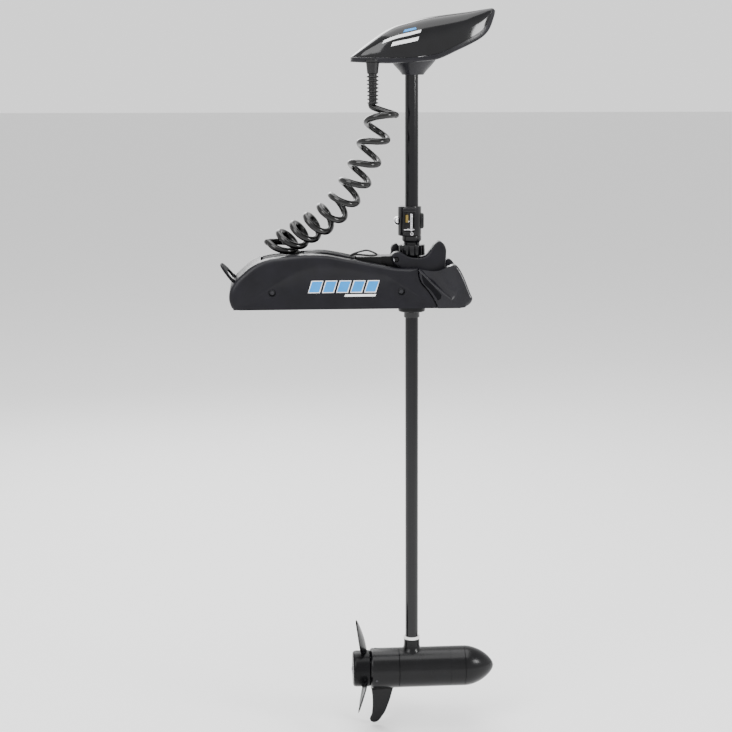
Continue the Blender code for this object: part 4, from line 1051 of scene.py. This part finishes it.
def mark(name, outline, look):
    """A thin print that follows the head's near side. Its outline is in x and a turn from the near seam."""
    (x0, t0), (x1, t1), (x2, t2), (x3, t3) = outline
    layers = []
    for lift in (0.05, 0.28):
        grid = []
        for i in range(13):
            u = i / 12
            row = []
            for k in range(7):
                v = k / 6
                x = (x0 + (x1 - x0) * u) * (1 - v) + (x3 + (x2 - x3) * u) * v
                t = (t0 + (t1 - t0) * u) * (1 - v) + (t3 + (t2 - t3) * u) * v
                row.append(head_point(x, math.pi - t, lift))
            grid.append(row)
        layers.append(grid)
    rings = [[*low, *reversed(high)] for low, high in zip(*layers)]
    finish(rings_mesh(name, rings), "shaft_assembly", look, slot="seal_white")


def head_marks():
    mark("head_bar_long", ((-66, 0.52), (14, 0.60), (16, 0.70), (-62, 0.66)), white)
    mark("head_bar_short", ((-48, 0.30), (8, 0.36), (11, 0.47), (-44, 0.43)), white)
    mark("head_bar_cyan", ((-22, 0.75), (6, 0.76), (5, 0.85), (-18, 0.86)), cyan)


def cord_relief():
    """The gland under the head and the ribbed relief that tapers to the cord."""
    low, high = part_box("cord_gland")
    r = high.x - GLAND.x
    step = high.z - 3.6 * MM
    profile = [(0, high.z), (8 * MM, high.z), (8 * MM, step), (r, step),
               *arc((r - MM, low.z + MM), MM, 0, -90, 3), (0, low.z)]
    finish(lathe("gland_cap", profile, (GLAND.x, GLAND.y, 0)), "shaft_assembly", rubber, "cord_gland")
    profile = [(0, RELIEF_HIGH), (13.2 * MM, RELIEF_HIGH), (14 * MM, RELIEF_HIGH - 0.8 * MM),
               (11.6 * MM, NECK_Z + 3 * MM)]
    z = NECK_Z + 1.5 * MM
    while z - RELIEF_PITCH > RELIEF_LOW - MM:
        taper = 1 - 0.10 * (NECK_Z - z) / (NECK_Z - RELIEF_LOW)
        profile += [(9 * MM * taper, z), (9 * MM * taper, z - 0.42 * RELIEF_PITCH)]
        profile += arc((11.4 * MM * taper, z - 0.68 * RELIEF_PITCH), 1.5 * MM, 80, -80, 4)
        profile += [(9 * MM * taper, z - 0.94 * RELIEF_PITCH)]
        z -= RELIEF_PITCH
    profile += [(8.4 * MM, RELIEF_LOW), (0, RELIEF_LOW)]
    relief = lathe("ribbed_relief", profile, (GLAND.x, GLAND.y, 0), sides=48, sharp=50)
    finish(relief, "shaft_assembly", rubber, "strain_relief")


# ---- the shaft and the lower unit ----

def shaft():
    low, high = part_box("shaft_tube")
    inner = SHAFT_R - 2.5 * MM
    profile = [(inner, high.z), (SHAFT_R, high.z), (SHAFT_R, low.z), (inner, low.z)]
    finish(lathe("shaft_skin", profile, S, sides=96), "shaft_assembly", shaft_black,
                 "shaft_tube")
    low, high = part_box("seal_ring")
    r = high.x - S.x
    foot = low.z + 2.4 * MM
    profile = [(SHAFT_BORE, high.z), (r - 2.4 * MM, high.z)] + arc(
        (r - 1.2 * MM, high.z - 1.2 * MM), 1.2 * MM, 85, 0, 4) + [(r, foot), (SHAFT_BORE, foot)]
    finish(lathe("seal_skin", profile, S), "shaft_assembly", seal_white, "seal_ring")


def groove(profile_r, x, depth=0.7 * MM, half=0.5 * MM):
    """Profile points of a narrow ring groove, from high x to low."""
    return [(profile_r, x + half), (profile_r - depth, x + half * 0.6), (profile_r - depth, x - half * 0.6),
            (profile_r, x - half)]


def lower_unit():
    low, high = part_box("motor_case")
    bell_low, bell_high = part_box("rear_bell")
    z = MOTOR_Z
    r = CASE_R
    at = (0, 0, z)
    case = [(0, high.x), (r - 0.4 * MM, high.x), (r, high.x - 0.5 * MM),
            *groove(r, high.x - 33 * MM, 0.3 * MM), (r, low.x + 0.6 * MM), (r - 0.6 * MM, low.x), (0, low.x)]
    body = lathe("case_skin", case, at, "X", 120, 25)
    top = high.z + 2.4 * MM
    boss = lathe("boss", [(0, top), (BOSS_R - 0.8 * MM, top), (BOSS_R, top - 0.8 * MM),
                          (BOSS_R + 0.5 * MM, z + r + 7 * MM), (BOSS_R + 2.2 * MM, z + r + 1.5 * MM),
                          (BOSS_R + 5 * MM, z + r - 2.2 * MM), (BOSS_R + 7 * MM, z + r - 8 * MM),
                          (0, z + r - 8 * MM)],
                 S, "Z", 96, 25)
    join(body, boss, sharp=28)
    finish(body, "shaft_assembly", cast_black, "motor_case")

    long = NOSE_HIGH.x - NOSE_LOW.x
    nose = [(0, NOSE_HIGH.x)]
    for i in range(1, 25):
        t = i / 24
        nose.append((r * (1 - (1 - t) ** 1.75) ** 0.66, NOSE_HIGH.x - (long - MM) * t ** 1.02))
    nose += [(r, NOSE_LOW.x + 0.6 * MM), (r - 0.6 * MM, NOSE_LOW.x), (0, NOSE_LOW.x)]
    finish(lathe("nose_skin", nose, at, "X", 120, 30), "shaft_assembly", cast_black, "nose_cone")

    bell = [(5.6 * MM, bell_high.x), (r - 0.6 * MM, bell_high.x), (r, bell_high.x - 0.6 * MM),
            (r, bell_low.x + 6 * MM)] + arc((r - 6 * MM, bell_low.x + 6 * MM), 6 * MM, 0, -90, 6) + [
                (5.6 * MM, bell_low.x)]
    shell = lathe("bell_skin", bell, at, "X", 120, 30)
    finish(shell, "shaft_assembly", cast_black, "rear_bell")
    for number, turn in enumerate((200, 320, 80)):
        a = math.radians(turn)
        spot = Vector((bell_low.x + 13 * MM, (r - 1.2 * MM) * math.cos(a), z + (r - 1.2 * MM) * math.sin(a)))
        out = Vector((0, math.cos(a), math.sin(a)))
        screw = rod(f"bell_screw_{number + 1}", spot, spot + out * 1.9 * MM, 2.6 * MM, 24)
        finish(screw, "shaft_assembly", dark_steel, slot="steel")

    fin = outline([(-92, -48), (-89.5, -72, 1), (-91, -107, 1), (-95, -124, 1), (-84, -129.6, 1),
                              (-66, -113, 1), (-53, -85, 1), (-42, -48)])
    fin = [(x, z + dz) for x, dz in fin]
    rows = [(-2.5 * MM, 3.2 * MM), (-2.2 * MM, 2.0 * MM), (-1.2 * MM, 0.5 * MM), (0, 0), (1.2 * MM, 0.5 * MM),
            (2.2 * MM, 2.0 * MM), (2.5 * MM, 3.2 * MM)]
    skeg = slab("skeg_fin", fin, rows, sharp=60)
    foot = box_mesh("foot", (S.x - 93 * MM, -4 * MM, z - r - 3.5 * MM), (S.x - 41 * MM, 4 * MM, z - r + 3 * MM),
                    1.5 * MM)
    join(skeg, foot)
    finish(skeg, "shaft_assembly", cast_black, "skeg")


def propeller():
    """A tapered hub with three raked, twisted blades of thin section."""
    low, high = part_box("propeller")
    z = MOTOR_Z
    reach = high.z - z - 5 * MM
    back = low.x
    front = high.x
    hub = [(0, front), (HUB_R - 1.5 * MM, front), (HUB_R, front - 1.5 * MM), (HUB_R - 0.6 * MM, back + 8 * MM),
           *arc((HUB_R - 7 * MM, back + 6 * MM), 6 * MM, 0, -90, 5), (14 * MM, back), (12 * MM, back + 4 * MM),
           (0, back + 4 * MM)]
    body = lathe("prop_body", hub, (0, 0, z), "X", 96, 30)
    blades = []
    for number in range(3):
        turn = Matrix.Translation((0, 0, z)) @ Matrix.Rotation(math.tau * number / 3 + PROP_TURN, 4, "X")
        rings = [[turn @ point for point in blade_ring(i / 18, reach, front)] for i in range(19)]
        blades.append(rings_mesh("blade", rings, sharp=60))
    join(body, *blades, sharp=40)
    finish(body, "propeller", prop_black, "propeller", slot="gloss_black")


def blade_ring(t, reach, front):
    """A blade's section wrapped round the shaft, t going from 0 at the root to 1 at the tip."""
    root = HUB_R - 3 * MM
    radius = root + (reach - root) * t
    full = math.sqrt(max(1 - (max(t - 0.35, 0) / 0.65) ** 2.6, 0.012))
    chord = 52 * MM * full * (0.80 + 0.35 * min(t / 0.4, 1))
    pitch = math.radians(27 - 18 * t)
    sweep = (-0.5 + 14 * t ** 1.8) * MM
    rake = front - 12 * MM - 21 * MM * t ** 1.25
    thick = (4.2 - 3.2 * t) * MM
    ring = []
    for k in range(28):
        a = math.tau * k / 28
        u = chord / 2 * math.cos(a)
        v = thick / 2 * math.sin(a) * (1 + 0.3 * math.cos(a)) + 2.2 * MM * (1 - (2 * u / chord) ** 2)
        x = rake + (u + sweep) * math.sin(pitch) * 0.62 + v * math.cos(pitch)
        angle = ((u + sweep) * math.cos(pitch) - v * math.sin(pitch)) / radius
        ring.append(Vector((x, radius * math.sin(angle), radius * math.cos(angle))))
    return ring


def socket_boot():
    """The boot of the socket that the cord ends in."""
    low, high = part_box("cord_socket")
    at = middle("cord_socket")
    r = high.x - at.x
    profile = [(0, high.z), (r * 0.72, high.z)] + arc((r - 2 * MM, high.z - 2.6 * MM), 2 * MM, 70, 0, 3) + [
        (r, 113.6 * MM), (8 * MM, 113.6 * MM), (8 * MM, low.z), (0, low.z)]
    finish(lathe("socket_boot", profile, (at.x, at.y, 0)), "mount_base", rubber, "cord_socket")


paint_frame()
camera()
floor()
studio()
power_cord()
pull_rope()
for side in (-1, 1):
    side_cover(side)
    ramp(side)
spine_covers()
prints()
pedal()
housing()
drive()
collar()
head()
cord_relief()
shaft()
lower_unit()
propeller()
socket_boot()
